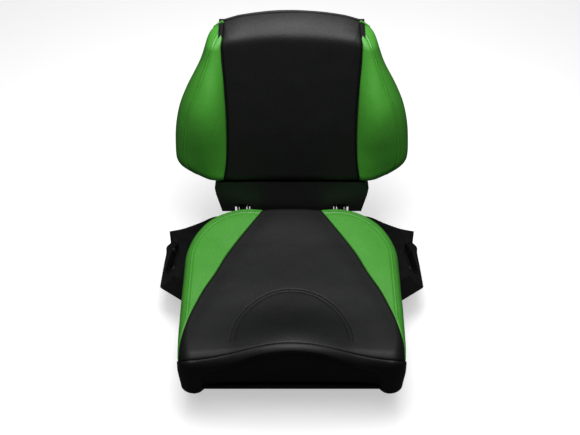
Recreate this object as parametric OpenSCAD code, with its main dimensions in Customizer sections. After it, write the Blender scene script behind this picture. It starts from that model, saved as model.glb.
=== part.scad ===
// Operator seat of a riding mower: slide rails, moulded side wings, padded seat and folding backrest.
// X is across the seat, -Y is forward and +Z is up. The origin is the centre of the four mounting
// holes, on the underside of the lower rails.

/* [Seat cushion] */
// Width over the cushion cover
cushion_w = 486; // [440:1:540]
// Length of the cushion from its rear edge to the front corners
cushion_len = 483; // [430:1:520]
// Distance from the mounting centre back to the cushion's rear edge
cushion_rear = 221; // [200:1:230]
// Height of the cushion's rear edge above its underside
cushion_rear_t = 97; // [80:1:120]
// Rise of the top from the rear edge to the front corners
cushion_rise = 27; // [15:1:45]
// Extra height of the thigh hump at the front centre
hump_h = 40; // [10:1:60]
// Width of the flat part of the rear edge
cushion_rear_flat = 190; // [120:5:220]
// Length of the rounded rear shoulders
shoulder_len = 166; // [120:1:190]
// Radius of the front corners
front_corner_r = 34; // [15:1:50]
// Height by which the underside rises to the front edge
front_lift = 28; // [10:1:40]
// Thickness of the vinyl cover with its backing
cover_t = 2.5; // [1:0.5:4]

/* [Backrest] */
// Width over the backrest bolsters
back_w = 540; // [470:1:600]
// Height of the backrest pad
back_h = 410; // [360:1:480]
// Gap between the cushion top and the bottom of the pad, along the backrest
back_gap = 58; // [40:1:80]
// Backwards lean of the backrest
back_lean = 14; // [8:1:20]
// Depth of the pad behind its centre face
pad_depth = 44; // [35:1:60]
// How far the side bolsters stand forward of the centre face
bolster_bulge = 30; // [10:1:40]
// Width of the centre panel
back_panel_w = 300; // [240:1:360]
// Depth of the moulded shell behind the pad
shell_depth = 34; // [28:1:50]
// Wall of the moulded shell and of the side wings
shell_t = 3; // [2:0.5:5]
// Width of the shell's lower skirt at its widest
skirt_w = 366; // [330:1:400]

/* [Folding hinge] */
// Distance between the centres of the two hinge arms
arm_spacing = 236; // [200:1:250]
// Width of a hinge arm
arm_w = 20; // [16:1:24]
// Thickness of a hinge arm
arm_t = 6; // [4:0.5:8]
// Radius of the hinge pivot bolts
pivot_r = 5; // [4:0.5:6]
// Drop of the hinge pivot below the top of the cushion's rear edge
pivot_drop = 18.1; // [12:0.1:24]
// Distance from the cushion's rear edge back to the hinge pivot
pivot_back = 34; // [30:1:40]
// Thickness of the hinge bracket plates
bracket_t = 3; // [2:0.5:5]

/* [Slide rails] */
// Distance between the centres of the two rails
rail_spacing = 280; // [260:1:290]
// Length of each rail
rail_len = 330; // [300:1:350]
// Width of the lower rail
rail_w = 46; // [40:1:50]
// Height of the lower rail
rail_h = 20.5; // [18:0.5:26]
// Thickness of the rail steel
rail_t = 3; // [2:0.5:4]
// Width of the upper rail
upper_w = 24; // [20:1:26]
// Height of the upper rail's top above the mounting face
upper_top = 34; // [30:1:38]
// Travel of the seat each way from the middle
slide_travel = 75; // [50:5:75]
// Front to rear distance between the mounting holes
mount_pitch = 286; // [250:1:300]
// Radius of the mounting holes
mount_hole_r = 4.5; // [4:0.5:6]

/* [Side wings] */
// How far each side wing stands out beyond the cushion's side
wing_reach = 61; // [50:1:75]
// Height of the wings' top above the mounting face
wing_top = 112; // [100:1:114]
// Height of the wings' lower edge above the mounting face
wing_low = 64; // [60:1:75]
// Length of the finger pocket in each wing
finger_len = 86; // [70:1:110]
// Width of the finger pocket in each wing
finger_w = 26; // [20:1:32]

/* [Adjuster bar] */
// Radius of the adjuster bar
bar_r = 5; // [4:0.5:6]
// Reach of the adjuster bar in front of its pivot
bar_reach = 155; // [120:1:160]
// Distance between the bar's two side arms
bar_spacing = 190; // [150:1:210]
// Pitch of the latch slots in the lower rails
slot_pitch = 15; // [12:1:20]

/* [Seat switch] */
// Radius of the switch plunger
plunger_r = 5; // [4:0.5:6]
// Travel of the switch plunger
plunger_travel = 4; // [2:0.5:5]

/* [Hidden] */

gap = 0.3; // clearance between soft or moulded pieces and what carries them
run = 0.05; // radial clearance of a running fit
loose = 0.2; // radial clearance of a screw or bolt in its hole
far = 1000; // longer than any piece, for cuts
curve_n = 4; // steps between two points of a smooth outline

// Heights, from the mounting face up
glide_z = rail_t + gap; // underside of the glides
flange_t = 2.5; // upper rail steel
flange_z = glide_z + 4.2; // underside of the upper rail's flanges
lip_z = rail_h - rail_t; // underside of the lower rail's lips
stand_h = 23.3; // from the top of the upper rails to the seat pan
pan_z = upper_top + stand_h; // underside of the seat pan
pan_t = 3.5;
cushion_z = pan_z + pan_t + gap; // underside of the cushion
bracket_z = pan_z - gap - bracket_t; // underside of the hinge bracket's foot
cross_h = bracket_z - upper_top; // height of the rear cross tube
rear_z = cushion_z + cushion_rear_t; // top of the cushion's rear edge
front_z = rear_z + cushion_rise; // top of the cushion at the front corners

// Places along the seat
cushion_front = cushion_rear - cushion_len;
shoulder_y = cushion_rear - shoulder_len; // where the straight sides begin
pivot_y = cushion_rear + pivot_back;
pivot_z = rear_z - pivot_drop;
cross_y = rail_len / 2 - 15; // middle of the rear cross tube
cross_d = 30;
cross_t = 2;
standoff_y = -rail_len / 2 + 25;
rod_y = -45; // middle of the adjuster bar's pivot rod
rod_z = upper_top + bar_r + 2;
half_w = cushion_w / 2;
rail_x = rail_spacing / 2;
arm_x = arm_spacing / 2;
slot_half = upper_w / 2 + 1; // half of the slot between the lower rail's lips
flange_half = rail_w / 2 - rail_t - 2.5; // half the width over the upper rail's flanges

// Radii of the bolts and screws
rail_bolt_r = 4;
bracket_bolt_r = 3;
screw_r = 2.5;
shell_screw_r = 2;

// Origin of the backrest's own axes: its centre face at the level of the cushion's rear edge
back_y = cushion_rear + 12;
back_z = rear_z;
// The hinge pivot in the backrest's own axes
pivot_h = (pivot_y - back_y) * sin(back_lean) + (pivot_z - back_z) * cos(back_lean);
pivot_d = (pivot_y - back_y) * cos(back_lean) - (pivot_z - back_z) * sin(back_lean);
pad_back = pad_depth - 4; // back of the foam
board_d = pad_back + gap;
board_t = 5;
bar_d = board_d + board_t; // front of the frame's cross bars
frame_bar_t = 4;
arm_d = bar_d + frame_bar_t; // front of the arms behind the board
shell_d = pad_back + 1; // front edge of the shell
shell_back = shell_d + shell_depth;
skirt_d = 6; // front of the shell's lower skirt
skirt_low = -24; // bottom of the skirt, along the backrest
pad_low = back_gap;
pad_top = back_gap + back_h;

// ---------- outlines ----------

function arc(cx, cy, rx, ry, a0, a1, n) =
  [for (i = [0:n]) let (a = a0 + (a1 - a0) * i / n) [cx + rx * cos(a), cy + ry * sin(a)]];

function mirrored(p) = [for (i = [len(p) - 1:-1:0]) [-p[i][0], p[i][1]]];

// A smooth curve through the points p, with n steps between each two
function blend(a, b, c, d, t) =
  0.5 * (2 * b + (c - a) * t + (2 * a - 5 * b + 4 * c - d) * t * t + (3 * b - a - 3 * c + d) * t * t * t);
function smooth(p, n = curve_n) = concat(
  [for (i = [0:len(p) - 2], k = [0:n - 1])
    blend(p[max(i - 1, 0)], p[i], p[i + 1], p[min(i + 2, len(p) - 1)], k / n)],
  [p[len(p) - 1]]);

// The cushion seen from above, with every edge moved in by i
function cushion_half(i) = let (r = max(front_corner_r - i, 3)) concat(
  arc(cushion_rear_flat / 2, shoulder_y, half_w - cushion_rear_flat / 2 - i, shoulder_len - i, 90, 0, 16),
  arc(half_w - i - r, cushion_front + i + r, r, r, 0, -90, 8)
);
module cushion_plan(i = 0) polygon(concat(cushion_half(i), mirrored(cushion_half(i))));

// The cushion seen from the side, at its middle, with the underside lowered by drop
module cushion_side(drop = 0) polygon(concat(
  [[cushion_rear + 1, cushion_z - drop]],
  smooth([
    [cushion_rear + 1, rear_z - 34], [cushion_rear - 4, rear_z - 9], [cushion_rear - 24, rear_z],
    [shoulder_y, rear_z + 0.3 * cushion_rise], [cushion_front + 200, rear_z + 0.6 * cushion_rise],
    [cushion_front + 105, front_z - 2 + 0.3 * hump_h], [cushion_front + 45, front_z + 0.9 * hump_h],
    [cushion_front + 17, front_z + 0.88 * hump_h], [cushion_front + 4, front_z + 0.2 * hump_h],
    [cushion_front, front_z - 35]]),
  [[cushion_front + 1, cushion_z + front_lift],
   [cushion_front + 1, cushion_z + front_lift - drop],
   [cushion_front + 57, cushion_z - drop]]));

// The cushion seen from the front, with the underside lowered by drop
module cushion_face(drop = 0) {
  half = concat(
    smooth([
      [0, front_z + hump_h], [0.19 * half_w, front_z + 0.9 * hump_h], [0.5 * half_w, front_z + 0.4 * hump_h],
      [0.82 * half_w, front_z], [0.94 * half_w, front_z - 17], [0.99 * half_w, front_z - 45],
      [half_w + 0.5, front_z - 85]]),
    [[half_w, cushion_z - drop]]);
  polygon(concat(half, mirrored(half)));
}

// The half space on one side of the seat's middle
module one_side(side) translate([side * far / 2, 0, 0]) cube(far, center = true);
module along_x(len) rotate([90, 0, 90]) linear_extrude(len, center = true) children();
module along_y(len) rotate([90, 0, 0]) linear_extrude(len, center = true) children();

// The whole cushion, moved in by i all over except at its underside
module cushion_body(i = 0) intersection() {
  linear_extrude(far / 2) cushion_plan(i);
  along_x(far) intersection() {
    offset(delta = -i) cushion_side(30);
    cushion_side(0);
  }
  along_y(far) intersection() {
    offset(delta = -i) cushion_face(30);
    cushion_face(0);
  }
}

// The seam between the centre panel and a side panel, from the rear to the front corner
function seam_half() = smooth([
  [0.305 * half_w, cushion_rear + 20], [0.36 * half_w, cushion_rear - 41],
  [0.57 * half_w, shoulder_y + 15], [0.74 * half_w, shoulder_y - 87], [0.86 * half_w, shoulder_y - 176],
  [0.93 * half_w, cushion_front + 86], [0.97 * half_w, cushion_front + 30]]);
front_seam_y = cushion_front + 9; // the seam along the front band

module cover_shell() difference() {
  cushion_body(0);
  cushion_body(cover_t);
}
module above_front_seam() translate([-far / 2, front_seam_y, 0]) cube([far, far, far]);
module centre_region() {
  half = concat(seam_half(), [[0.97 * half_w, front_seam_y - 1]]);
  linear_extrude(far) polygon(concat(half, mirrored(half)));
}

// The backrest pad seen from the front, moved in by i, as fractions of the half width and height
pad_shape = [
  [0, 1], [0.27, 0.99], [0.47, 0.968], [0.63, 0.93], [0.69, 0.875], [0.74, 0.77], [0.815, 0.675],
  [0.893, 0.573], [0.96, 0.45], [1, 0.28], [0.985, 0.135], [0.86, 0.068], [0.7, 0.012], [0.5, 0], [0, 0]];
function pad_half(i) = [for (p = smooth(pad_shape))
  [p[0] * (back_w / 2 - i), pad_low + i + p[1] * (back_h - 2 * i)]];
module pad_front(i = 0) polygon(concat(pad_half(i), mirrored(pad_half(i))));

// The pad cut level, with its bolsters standing forward, and cut upright
module pad_level() {
  half = concat(
    smooth([
      [0, -4], [0.42 * back_w / 2, -4], [0.56 * back_w / 2, -8],
      [0.68 * back_w / 2, -0.75 * bolster_bulge - 4], [0.8 * back_w / 2, -bolster_bulge - 4],
      [0.92 * back_w / 2, -0.65 * bolster_bulge - 4],
      [back_w / 2, 4], [back_w / 2 + 1, 18]]),
    [[back_w / 2 + 1, far / 2]]);
  polygon(concat(half, mirrored(half)));
}
module pad_upright() polygon(concat(
  smooth([
    [20, pad_low - 1], [-14, pad_low + 10], [-bolster_bulge - 3, pad_low + 45],
    [-bolster_bulge - 4, pad_low + 0.4 * back_h], [-0.6 * bolster_bulge - 4, pad_low + 0.75 * back_h],
    [-8, pad_top - 34], [0, pad_top - 9], [16, pad_top + 1]]),
  [[far / 2, pad_top + 1], [far / 2, pad_low - 1]]));

// Places its children in the backrest's own axes: Y is its depth and Z runs up along it
module leaning() translate([0, back_y, back_z]) rotate([-back_lean, 0, 0]) children();
module along_back(d0, d1) translate([0, d1, 0]) rotate([90, 0, 0]) linear_extrude(d1 - d0) children();

module pad_body(i = 0) intersection() {
  along_back(-100, pad_back) pad_front(i);
  linear_extrude(far) offset(delta = -i) pad_level();
  along_x(far) offset(delta = -i) pad_upright();
}
module pad_cover_shell() difference() {
  pad_body(0);
  pad_body(cover_t);
}

// ---------- fasteners ----------

// A screw with its head at the origin and its shank pointing down
module screw(r, len, head_r, head_h) {
  rotate_extrude($fn = 48) polygon([
    [0, head_h], [0.7 * head_r, head_h], [head_r, 0.55 * head_h], [head_r, 0], [r, 0], [r, -len], [0, -len]]);
}
bolt_head = 1.9; // radius of a hexagon head or nut, as a multiple of its thread's
module hex_bolt(r, len, head_h) difference() {
  union() {
    cylinder(r = bolt_head * r, h = head_h, $fn = 6);
    translate([0, 0, -len]) cylinder(r = r, h = len + 1, $fn = 48);
  }
  translate([0, 0, head_h - 0.6]) cylinder(r = 1.2 * r, h = 2, $fn = 48);
}
module nut(r, h) difference() {
  cylinder(r = bolt_head * r, h = h, $fn = 6);
  translate([0, 0, -1]) cylinder(r = r + run, h = h + 2, $fn = 48);
}

// ---------- slide rails ----------

module lower_rail(side) color("#3a3b3d") translate([side * rail_x, 0, 0]) difference() {
  along_y(rail_len) {
    w = rail_w / 2;
    polygon([
      [-w, 0], [w, 0], [w, rail_h], [slot_half, rail_h], [slot_half, lip_z], [w - rail_t, lip_z],
      [w - rail_t, rail_t], [-w + rail_t, rail_t], [-w + rail_t, lip_z], [-slot_half, lip_z],
      [-slot_half, rail_h], [-w, rail_h]]);
  }
  for (y = [-mount_pitch / 2, mount_pitch / 2])
    translate([0, y, -1]) cylinder(r = mount_hole_r, h = rail_t + 2, $fn = 48);
  // Latch slots in the inner lip
  for (y = [rod_y - 107:slot_pitch:rod_y + 60])
    translate([-side * (slot_half + latch_w / 2 + 0.5), y, rail_h - rail_t / 2])
      cube([latch_w + 1, slot_pitch / 2 + 1, rail_t * 2], center = true);
  translate([0, 0, -1]) cylinder(r = stop_r, h = rail_t + 2, $fn = 48);
}
latch_w = 5; // thickness of a latch pawl
stop_r = 4;
stop_pin_r = 2.5;
stop_pin_z = 12;

// Studs riveted in the middle of the lower rails, which the pins of the upper rails run against
module slide_stops() color("#8b8d90") for (side = [-1, 1]) translate([side * rail_x, 0, 0]) {
  translate([0, 0, 0.2]) cylinder(r = stop_r, h = stop_pin_z + 4, $fn = 48);
}

module upper_rail(side) color("#4a4b4d") translate([side * rail_x, 0, 0]) difference() {
  along_y(rail_len) {
    half = [
      [upper_w / 2, upper_top], [upper_w / 2, flange_z + flange_t], [flange_half, flange_z + flange_t],
      [flange_half, flange_z], [upper_w / 2 - flange_t, flange_z],
      [upper_w / 2 - flange_t, upper_top - flange_t]];
    polygon(concat(half, mirrored(half)));
  }
  for (y = [standoff_y, cross_y])
    translate([0, y, upper_top - 5]) cylinder(r = rail_bolt_r + loose, h = 10, $fn = 48);
  for (y = [-hanger_bolt_y, hanger_bolt_y])
    translate([0, rod_y + y, upper_top - 5]) cylinder(r = screw_r + loose, h = 10, $fn = 48);
  for (y = [-stop_pin_y, stop_pin_y])
    translate([0, y, stop_pin_z]) rotate([0, 90, 0])
      cylinder(r = stop_pin_r, h = upper_w + 2, center = true, $fn = 48);
}
stop_pin_y = slide_travel + stop_r + stop_pin_r + 0.5;
hanger_bolt_y = 12;

module stop_pins() color("#8b8d90") for (side = [-1, 1], y = [-stop_pin_y, stop_pin_y])
  translate([side * rail_x, y, stop_pin_z]) rotate([0, 90, 0])
    cylinder(r = stop_pin_r - 0.02, h = upper_w - 0.4, center = true, $fn = 48);

// Acetal shoes clipped round the flanges of an upper rail
glide_len = 40;
glide_y = rail_len / 2 - 35;
module rail_glides(side) color("#e8e6df") for (s = [-1, 1], y = [-glide_y, glide_y])
  translate([side * rail_x, y, 0]) {
    inner = upper_w / 2 + gap;
    outer = rail_w / 2 - rail_t - gap;
    flange = flange_half + gap / 2;
    mirror([s < 0 ? 1 : 0, 0, 0]) along_y(glide_len) polygon([
      [inner, glide_z], [outer, glide_z], [outer, lip_z - gap], [inner, lip_z - gap],
      [inner, flange_z + flange_t + gap / 2], [flange, flange_z + flange_t + gap / 2],
      [flange, flange_z - gap / 2], [inner, flange_z - gap / 2]]);
  }

// ---------- seat frame ----------

module pan_standoffs() color("#2f3032") for (side = [-1, 1]) translate([side * rail_x, standoff_y, upper_top])
  difference() {
    linear_extrude(pan_z - gap / 3 - upper_top) square([upper_w + 4, 34], center = true);
    translate([0, 0, -1]) cylinder(r = rail_bolt_r + loose, h = far, $fn = 48);
  }

module rear_cross_tube() color("#2f3032") difference() {
  translate([0, cross_y, upper_top]) along_x(rail_spacing + upper_w) difference() {
    translate([-cross_d / 2, 0]) square([cross_d, cross_h]);
    translate([-cross_d / 2 + cross_t, cross_t]) square([cross_d - 2 * cross_t, cross_h - 2 * cross_t]);
  }
  for (side = [-1, 1]) {
    translate([side * rail_x, cross_y, upper_top - 1]) cylinder(r = rail_bolt_r + loose, h = far, $fn = 48);
    translate([side * arm_x, cross_y, upper_top + 5]) cylinder(r = bracket_bolt_r + loose, h = far, $fn = 48);
  }
}

// Bolts down through the seat frame into the upper rails, with their nuts
nut_h = 5;
module rail_bolts() color("#9c9ea1") for (side = [-1, 1]) {
  front_grip = stand_h + pan_t + flange_t;
  rear_grip = cross_h + flange_t;
  translate([side * rail_x, standoff_y, pan_z + pan_t]) {
    hex_bolt(rail_bolt_r, front_grip + nut_h + 2, 4);
    translate([0, 0, -front_grip - nut_h - 0.1]) nut(rail_bolt_r, nut_h);
  }
  translate([side * rail_x, cross_y, upper_top + cross_h]) {
    hex_bolt(rail_bolt_r, rear_grip + nut_h + 1.5, 2.8);
    translate([0, 0, -rear_grip - nut_h - 0.1]) nut(rail_bolt_r, nut_h);
  }
}

pan_in = 10; // how far the pan's edge lies inside the cushion's
rib_in = 48; // how far the pan's stiffening rib lies inside
rib_h = 14;
switch_y = 20;
switch_r = 12;
front_kick = 57; // length of the pan's raised front
module seat_pan() color("#1d1e20") difference() {
  union() {
    intersection() {
      linear_extrude(far / 2) cushion_plan(pan_in);
      along_x(far) polygon([
        [cushion_rear, pan_z], [cushion_rear, pan_z + pan_t], [cushion_front + front_kick, pan_z + pan_t],
        [cushion_front, pan_z + pan_t + front_lift], [cushion_front, pan_z + front_lift],
        [cushion_front + front_kick + 1, pan_z]]);
    }
    // Stiffening rib all round the underside, cut away over the rails, the bracket feet and the bar
    translate([0, 0, pan_z - rib_h]) linear_extrude(rib_h + 1) intersection() {
      difference() {
        cushion_plan(rib_in);
        cushion_plan(rib_in + shell_t);
      }
      translate([-far / 2, cushion_front + front_kick + 40]) square(far);
    }
    translate([0, switch_y, pan_z - 6]) cylinder(r = switch_r + 6, h = 8, $fn = 64);
  }
  for (side = [-1, 1]) {
    translate([side * rail_x, 0, upper_top]) cube([rail_w + 12, far, 2 * stand_h - 0.02], center = true);
    translate([side * arm_x, cross_y + 50, pan_z - 20]) cube([arm_w + 40, 140, 40 - 0.02], center = true);
    translate([side * rail_x, standoff_y, pan_z - 1]) cylinder(r = rail_bolt_r + loose, h = 10, $fn = 48);
    translate([side * rail_x, cross_y, pan_z - 1]) cylinder(r = 2.25 * rail_bolt_r, h = 10, $fn = 48);
    translate([side * arm_x, cross_y, pan_z - 1]) cylinder(r = bracket_bolt_r + loose, h = 10, $fn = 48);
    for (p = wing_screw_spots)
      translate([side * p[0], p[1], pan_z - 1]) cylinder(r = screw_r + loose, h = 10, $fn = 48);
  }
  translate([0, switch_y, pan_z - 10]) cylinder(r = switch_r + loose, h = 20, $fn = 64);
}

// ---------- seat cushion ----------

pocket_r = 20; // the foam's pocket over the switch
pocket_h = 18;
bolt_pocket = 10;
module seat_foam() color("#d8c89a") difference() {
  cushion_body(cover_t + gap);
  translate([0, switch_y, cushion_z - 1]) cylinder(r = pocket_r, h = pocket_h + 1, $fn = 64);
  for (side = [-1, 1], y = [standoff_y, cross_y])
    translate([side * rail_x, y, cushion_z - 1]) cylinder(r = bolt_pocket, h = 9, $fn = 48);
  for (side = [-1, 1])
    translate([side * arm_x, cross_y, cushion_z - 1]) cylinder(r = bolt_pocket, h = 9, $fn = 48);
}
module seat_cover_centre() color("#2b2c2e") intersection() {
  cover_shell();
  centre_region();
  above_front_seam();
}
module seat_cover_side(side) color("#4caf3e") intersection() {
  difference() {
    cover_shell();
    centre_region();
  }
  above_front_seam();
  one_side(side);
}
module seat_cover_front() color("#232425") difference() {
  cover_shell();
  above_front_seam();
}

// ---------- side wings ----------

wing_gap = 3; // between a wing and the cushion's side
wing_x = half_w + wing_reach;
wing_front = shoulder_y - 94;
wing_foot_t = 2.8;
foot_in = 40; // how far a wing's foot reaches under the pan
wing_screw_spots = [
  [half_w - 27, shoulder_y - 30], [half_w - 27, shoulder_y + 15], [half_w - 60, shoulder_y + 72]];
wing_end_x = 0.585 * half_w; // inner end of a wing behind the cushion
scoop_y = shoulder_y + 45;
scoop_ry = 92;
scoop_rx = 46;
slant = 42; // slope of the mouth's wall, from level
slant_x = half_w + 18; // where the slanted wall leaves the wing's top
mouth_turn = 9; // turn of the mouth in plan, so that its front stands further out
slot_down = 29; // middle of the finger pocket, down along the slanted wall
slot_back = 13; // and behind the middle of the mouth
pocket_d = 22;
pocket_t = 2.4; // wall and floor of the finger pocket
nose_turn = 37; // turn of the front edge in plan
nose_back = 52; // where the wing's front has its full height, behind its tip

function wing_outline() = smooth([
  [0.55 * half_w, cushion_rear + 10], [wing_end_x, cushion_rear + 17], [0.765 * half_w, cushion_rear + 15],
  [0.91 * half_w, cushion_rear - 6], [half_w + 17, cushion_rear - 26], [wing_x - 8, cushion_rear - 36],
  [wing_x - 1, cushion_rear - 44], [wing_x - 3, shoulder_y + 100], [wing_x - 1, shoulder_y + 45],
  [wing_x, shoulder_y - 40], [wing_x - 10, shoulder_y - 60], [half_w + 25, shoulder_y - 80],
  [half_w + 3, wing_front]]);
module wing_plan() difference() {
  polygon(concat(
    wing_outline(), [[half_w - 60, wing_front], [half_w - 60, shoulder_y], [60, cushion_rear - 60]]));
  cushion_plan(-wing_gap);
  // Square end behind the cushion
  translate([0, cushion_rear - 90]) square([wing_end_x, 200]);
}
module finger_slot(grow, deep) {
  r = finger_w / 2 + grow;
  for (y = [-1, 1])
    translate([0, y * (finger_len / 2 - finger_w / 2), 0]) cylinder(r = r, h = deep, center = true, $fn = 64);
  cube([2 * r, finger_len - finger_w, deep], center = true);
}
// Space outside a wing's slanted wall; the wall's inner face is the same shape grown by its thickness
module wing_scoop(grow) intersection() {
  translate([wing_x + 4, scoop_y, 0]) linear_extrude(far / 4)
    polygon(arc(0, 0, scoop_rx + grow, scoop_ry + grow, 0, 354, 59));
  mouth_wall() translate([-60, -far / 2, -grow]) cube([far, far, far]);
}
module mouth_wall() translate([slant_x, scoop_y, wing_top]) rotate([0, 0, mouth_turn])
  rotate([0, slant, 0]) children();
module on_slant() mouth_wall() translate([slot_down, slot_back, 0]) children();
// The wedge that the wing's front end comes to, seen from the side
module wing_nose(i = 0) {
  mid = (wing_top + wing_low) / 2;
  half = (wing_top - wing_low) / 2;
  translate([half_w + 3, wing_front, 0]) rotate([0, 0, nose_turn]) rotate([90, 0, 90])
    translate([0, 0, -far / 2]) linear_extrude(far) offset(delta = -i) polygon([
      [0.37 * nose_back, mid], [nose_back, wing_top], [1.63 * nose_back, mid + 2 * half],
      [far / 2, mid + 2 * half], [far / 2, mid - 2 * half], [1.17 * nose_back, mid - 2 * half],
      [0.77 * nose_back, wing_low]]);
}
module side_wing(side) color("#0c0c0d") mirror([side < 0 ? 1 : 0, 0, 0]) {
  difference() {
    union() {
      difference() {
        intersection() {
          translate([0, 0, wing_low]) linear_extrude(wing_top - wing_low) wing_plan();
          wing_nose();
        }
        difference() {
          intersection() {
            translate([0, 0, wing_low - 1]) linear_extrude(wing_top - wing_low - shell_t + 1)
              offset(delta = -shell_t) wing_plan();
            wing_nose(shell_t);
          }
          wing_scoop(shell_t);
        }
        wing_scoop(0);
      }
      // Raised rim round the finger pocket, and the pocket's wall
      intersection() {
        on_slant() finger_slot(3, 3);
        translate([0, 0, wing_low]) linear_extrude(wing_top - wing_low) wing_plan();
      }
      on_slant() translate([0, 0, -(pocket_d + pocket_t) / 2]) finger_slot(pocket_t, pocket_d + pocket_t);
      // Foot under the pan and the web that carries the wing on it
      translate([0, 0, pan_z - gap - wing_foot_t]) linear_extrude(wing_foot_t) wing_foot_plan();
      translate([0, 0, pan_z - gap - wing_foot_t]) linear_extrude(wing_low - pan_z + gap + wing_foot_t + 1)
        intersection() {
          difference() {
            cushion_plan(-wing_gap - shell_t);
            cushion_plan(-wing_gap);
          }
          wing_window();
        }
    }
    on_slant() translate([0, 0, (20 - pocket_d) / 2]) finger_slot(0, 20 + pocket_d);
    for (p = wing_screw_spots)
      translate([p[0], p[1], pan_z - 20]) cylinder(r = screw_r + loose, h = 30, $fn = 48);
  }
}
// The stretch along the cushion's side that a wing's foot takes up
module wing_window() translate([wing_end_x + 6, wing_front + nose_back])
  square([half_w, cushion_rear - wing_front - nose_back - 24]);
module wing_foot_plan() intersection() {
  difference() {
    cushion_plan(-wing_gap - shell_t);
    cushion_plan(foot_in);
  }
  wing_window();
}
module wing_screws() color("#9c9ea1") for (side = [-1, 1], p = wing_screw_spots)
  translate([side * p[0], p[1], pan_z - gap - wing_foot_t]) rotate([180, 0, 0])
    screw(screw_r, wing_foot_t + pan_t, 5.5, 3.2);

// ---------- folding hinge ----------

ear_in = arm_w / 2 + 1; // inner face of a bracket ear, from the arm's middle
eye_r = 15;
bracket_front = cushion_rear + 8;
bracket_rear = pivot_y + 20;
module hinge_bracket(side) color("#242527") translate([side * arm_x, 0, 0]) difference() {
  union() {
    translate([-ear_in - bracket_t, cross_y - cross_d / 2, bracket_z])
      cube([2 * (ear_in + bracket_t), bracket_rear - cross_y + cross_d / 2, bracket_t]);
    for (s = [-1, 1]) translate([s * (ear_in + bracket_t / 2), 0, 0]) along_x(bracket_t)
      union() {
        polygon([
          [bracket_front, bracket_z + 1], [bracket_rear, bracket_z + 1], [bracket_rear, pivot_z - 12],
          [pivot_y + eye_r - 1, pivot_z - 4], [pivot_y - eye_r + 1, pivot_z - 4],
          [bracket_front - 1, pivot_z - 14]]);
        translate([pivot_y, pivot_z]) circle(r = eye_r, $fn = 64);
      }
    // Web in front of the arm's heel that carries its stop
    translate([-ear_in - 0.5, bracket_front, bracket_z + 1])
      cube([2 * ear_in + 1, bracket_t, stop_z + 8 - bracket_z]);
  }
  translate([0, pivot_y, pivot_z]) rotate([0, 90, 0])
    cylinder(r = pivot_r + 0.02, h = 60, center = true, $fn = 64);
  translate([0, cross_y, bracket_z - 1]) cylinder(r = bracket_bolt_r + loose, h = 10, $fn = 48);
  // Clear of the heads of the rail bolts
  translate([side * (rail_x - arm_x), cross_y, bracket_z - 1])
    cylinder(r = bolt_head * rail_bolt_r + gap, h = bracket_t + 2, $fn = 48);
}
module bracket_bolts() color("#9c9ea1") for (side = [-1, 1])
  translate([side * arm_x, cross_y, pan_z + pan_t]) {
    screw(bracket_bolt_r, pan_t + gap + bracket_t + cross_t + 6, 6, 3.6);
    translate([0, 0, -pan_t - gap - bracket_t - cross_t - 4.05]) nut(bracket_bolt_r, 4);
  }

washer_t = 1;
head_t = 5;
pivot_half = ear_in + bracket_t + washer_t; // from the arm's middle to the bolt's head
module pivot_bolt(side) color("#8f9194")
  translate([side * (arm_x + pivot_half + 0.05), pivot_y, pivot_z]) rotate([0, side * 90, 0])
    hex_bolt(pivot_r, 2 * pivot_half + 6, head_t);
module pivot_nuts() color("#8f9194") for (side = [-1, 1])
  translate([side * (arm_x - pivot_half - 0.05), pivot_y, pivot_z]) rotate([0, -side * 90, 0])
    nut(pivot_r, nut_h);
module pivot_washers() color("#b5b7ba") for (side = [-1, 1], s = [-1, 1])
  translate([side * arm_x + s * (pivot_half - washer_t / 2), pivot_y, pivot_z]) rotate([0, 90, 0])
    difference() {
      cylinder(r = 2 * pivot_r, h = washer_t - 0.04, center = true, $fn = 64);
      cylinder(r = pivot_r + run, h = 5, center = true, $fn = 64);
    }

heel_len = 30; // the arm's heel below its pivot
// Rubber buttons on the brackets' webs; the arms' heels rest on them
module backrest_stops() color("#151515") for (side = [-1, 1])
  translate([side * arm_x, bracket_front + bracket_t, stop_z]) rotate([-90, 0, 0])
    cylinder(r = 6, h = stop_len, $fn = 48);
stop_z = pivot_z - 22;
heel_y = pivot_y - 10; // front face of the heel
heel_t = 8;
stop_len = heel_y - gap - bracket_front - bracket_t;

// ---------- seat switch ----------

switch_low = pan_z - 18;
switch_flange_z = pan_z + pan_t;
plunger_top = switch_flange_z + 12;
module switch_body() color("#e9e4d4") difference() {
  translate([0, switch_y, 0]) union() {
    translate([0, 0, switch_low]) cylinder(r = switch_r, h = switch_flange_z - switch_low + 1, $fn = 64);
    translate([0, 0, switch_flange_z]) cylinder(r = switch_r + 5, h = 2, $fn = 64);
  }
  translate([0, switch_y, switch_low + 4]) cylinder(r = plunger_r + run, h = far, $fn = 64);
}
module switch_plunger() color("#c23b2c") translate([0, switch_y, 0]) {
  translate([0, 0, switch_low + 5 + plunger_travel])
    cylinder(r = plunger_r, h = plunger_top - switch_low - 5 - plunger_travel, $fn = 64);
  translate([0, 0, plunger_top - 2]) cylinder(r = plunger_r + 5, h = 2, $fn = 64);
}
module switch_spring() color("#a9abad") translate([0, switch_y, 0])
  coil(plunger_r + 1.9, 0.5, switch_flange_z + 2 + 0.55, plunger_top - 2 - 0.55, 3);
module switch_terminals() color("#c9a54a") for (x = [-4, 4])
  translate([x - 0.4, switch_y - 3, switch_low - 8]) cube([0.8, 6, 8 - 0.02]);

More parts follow.
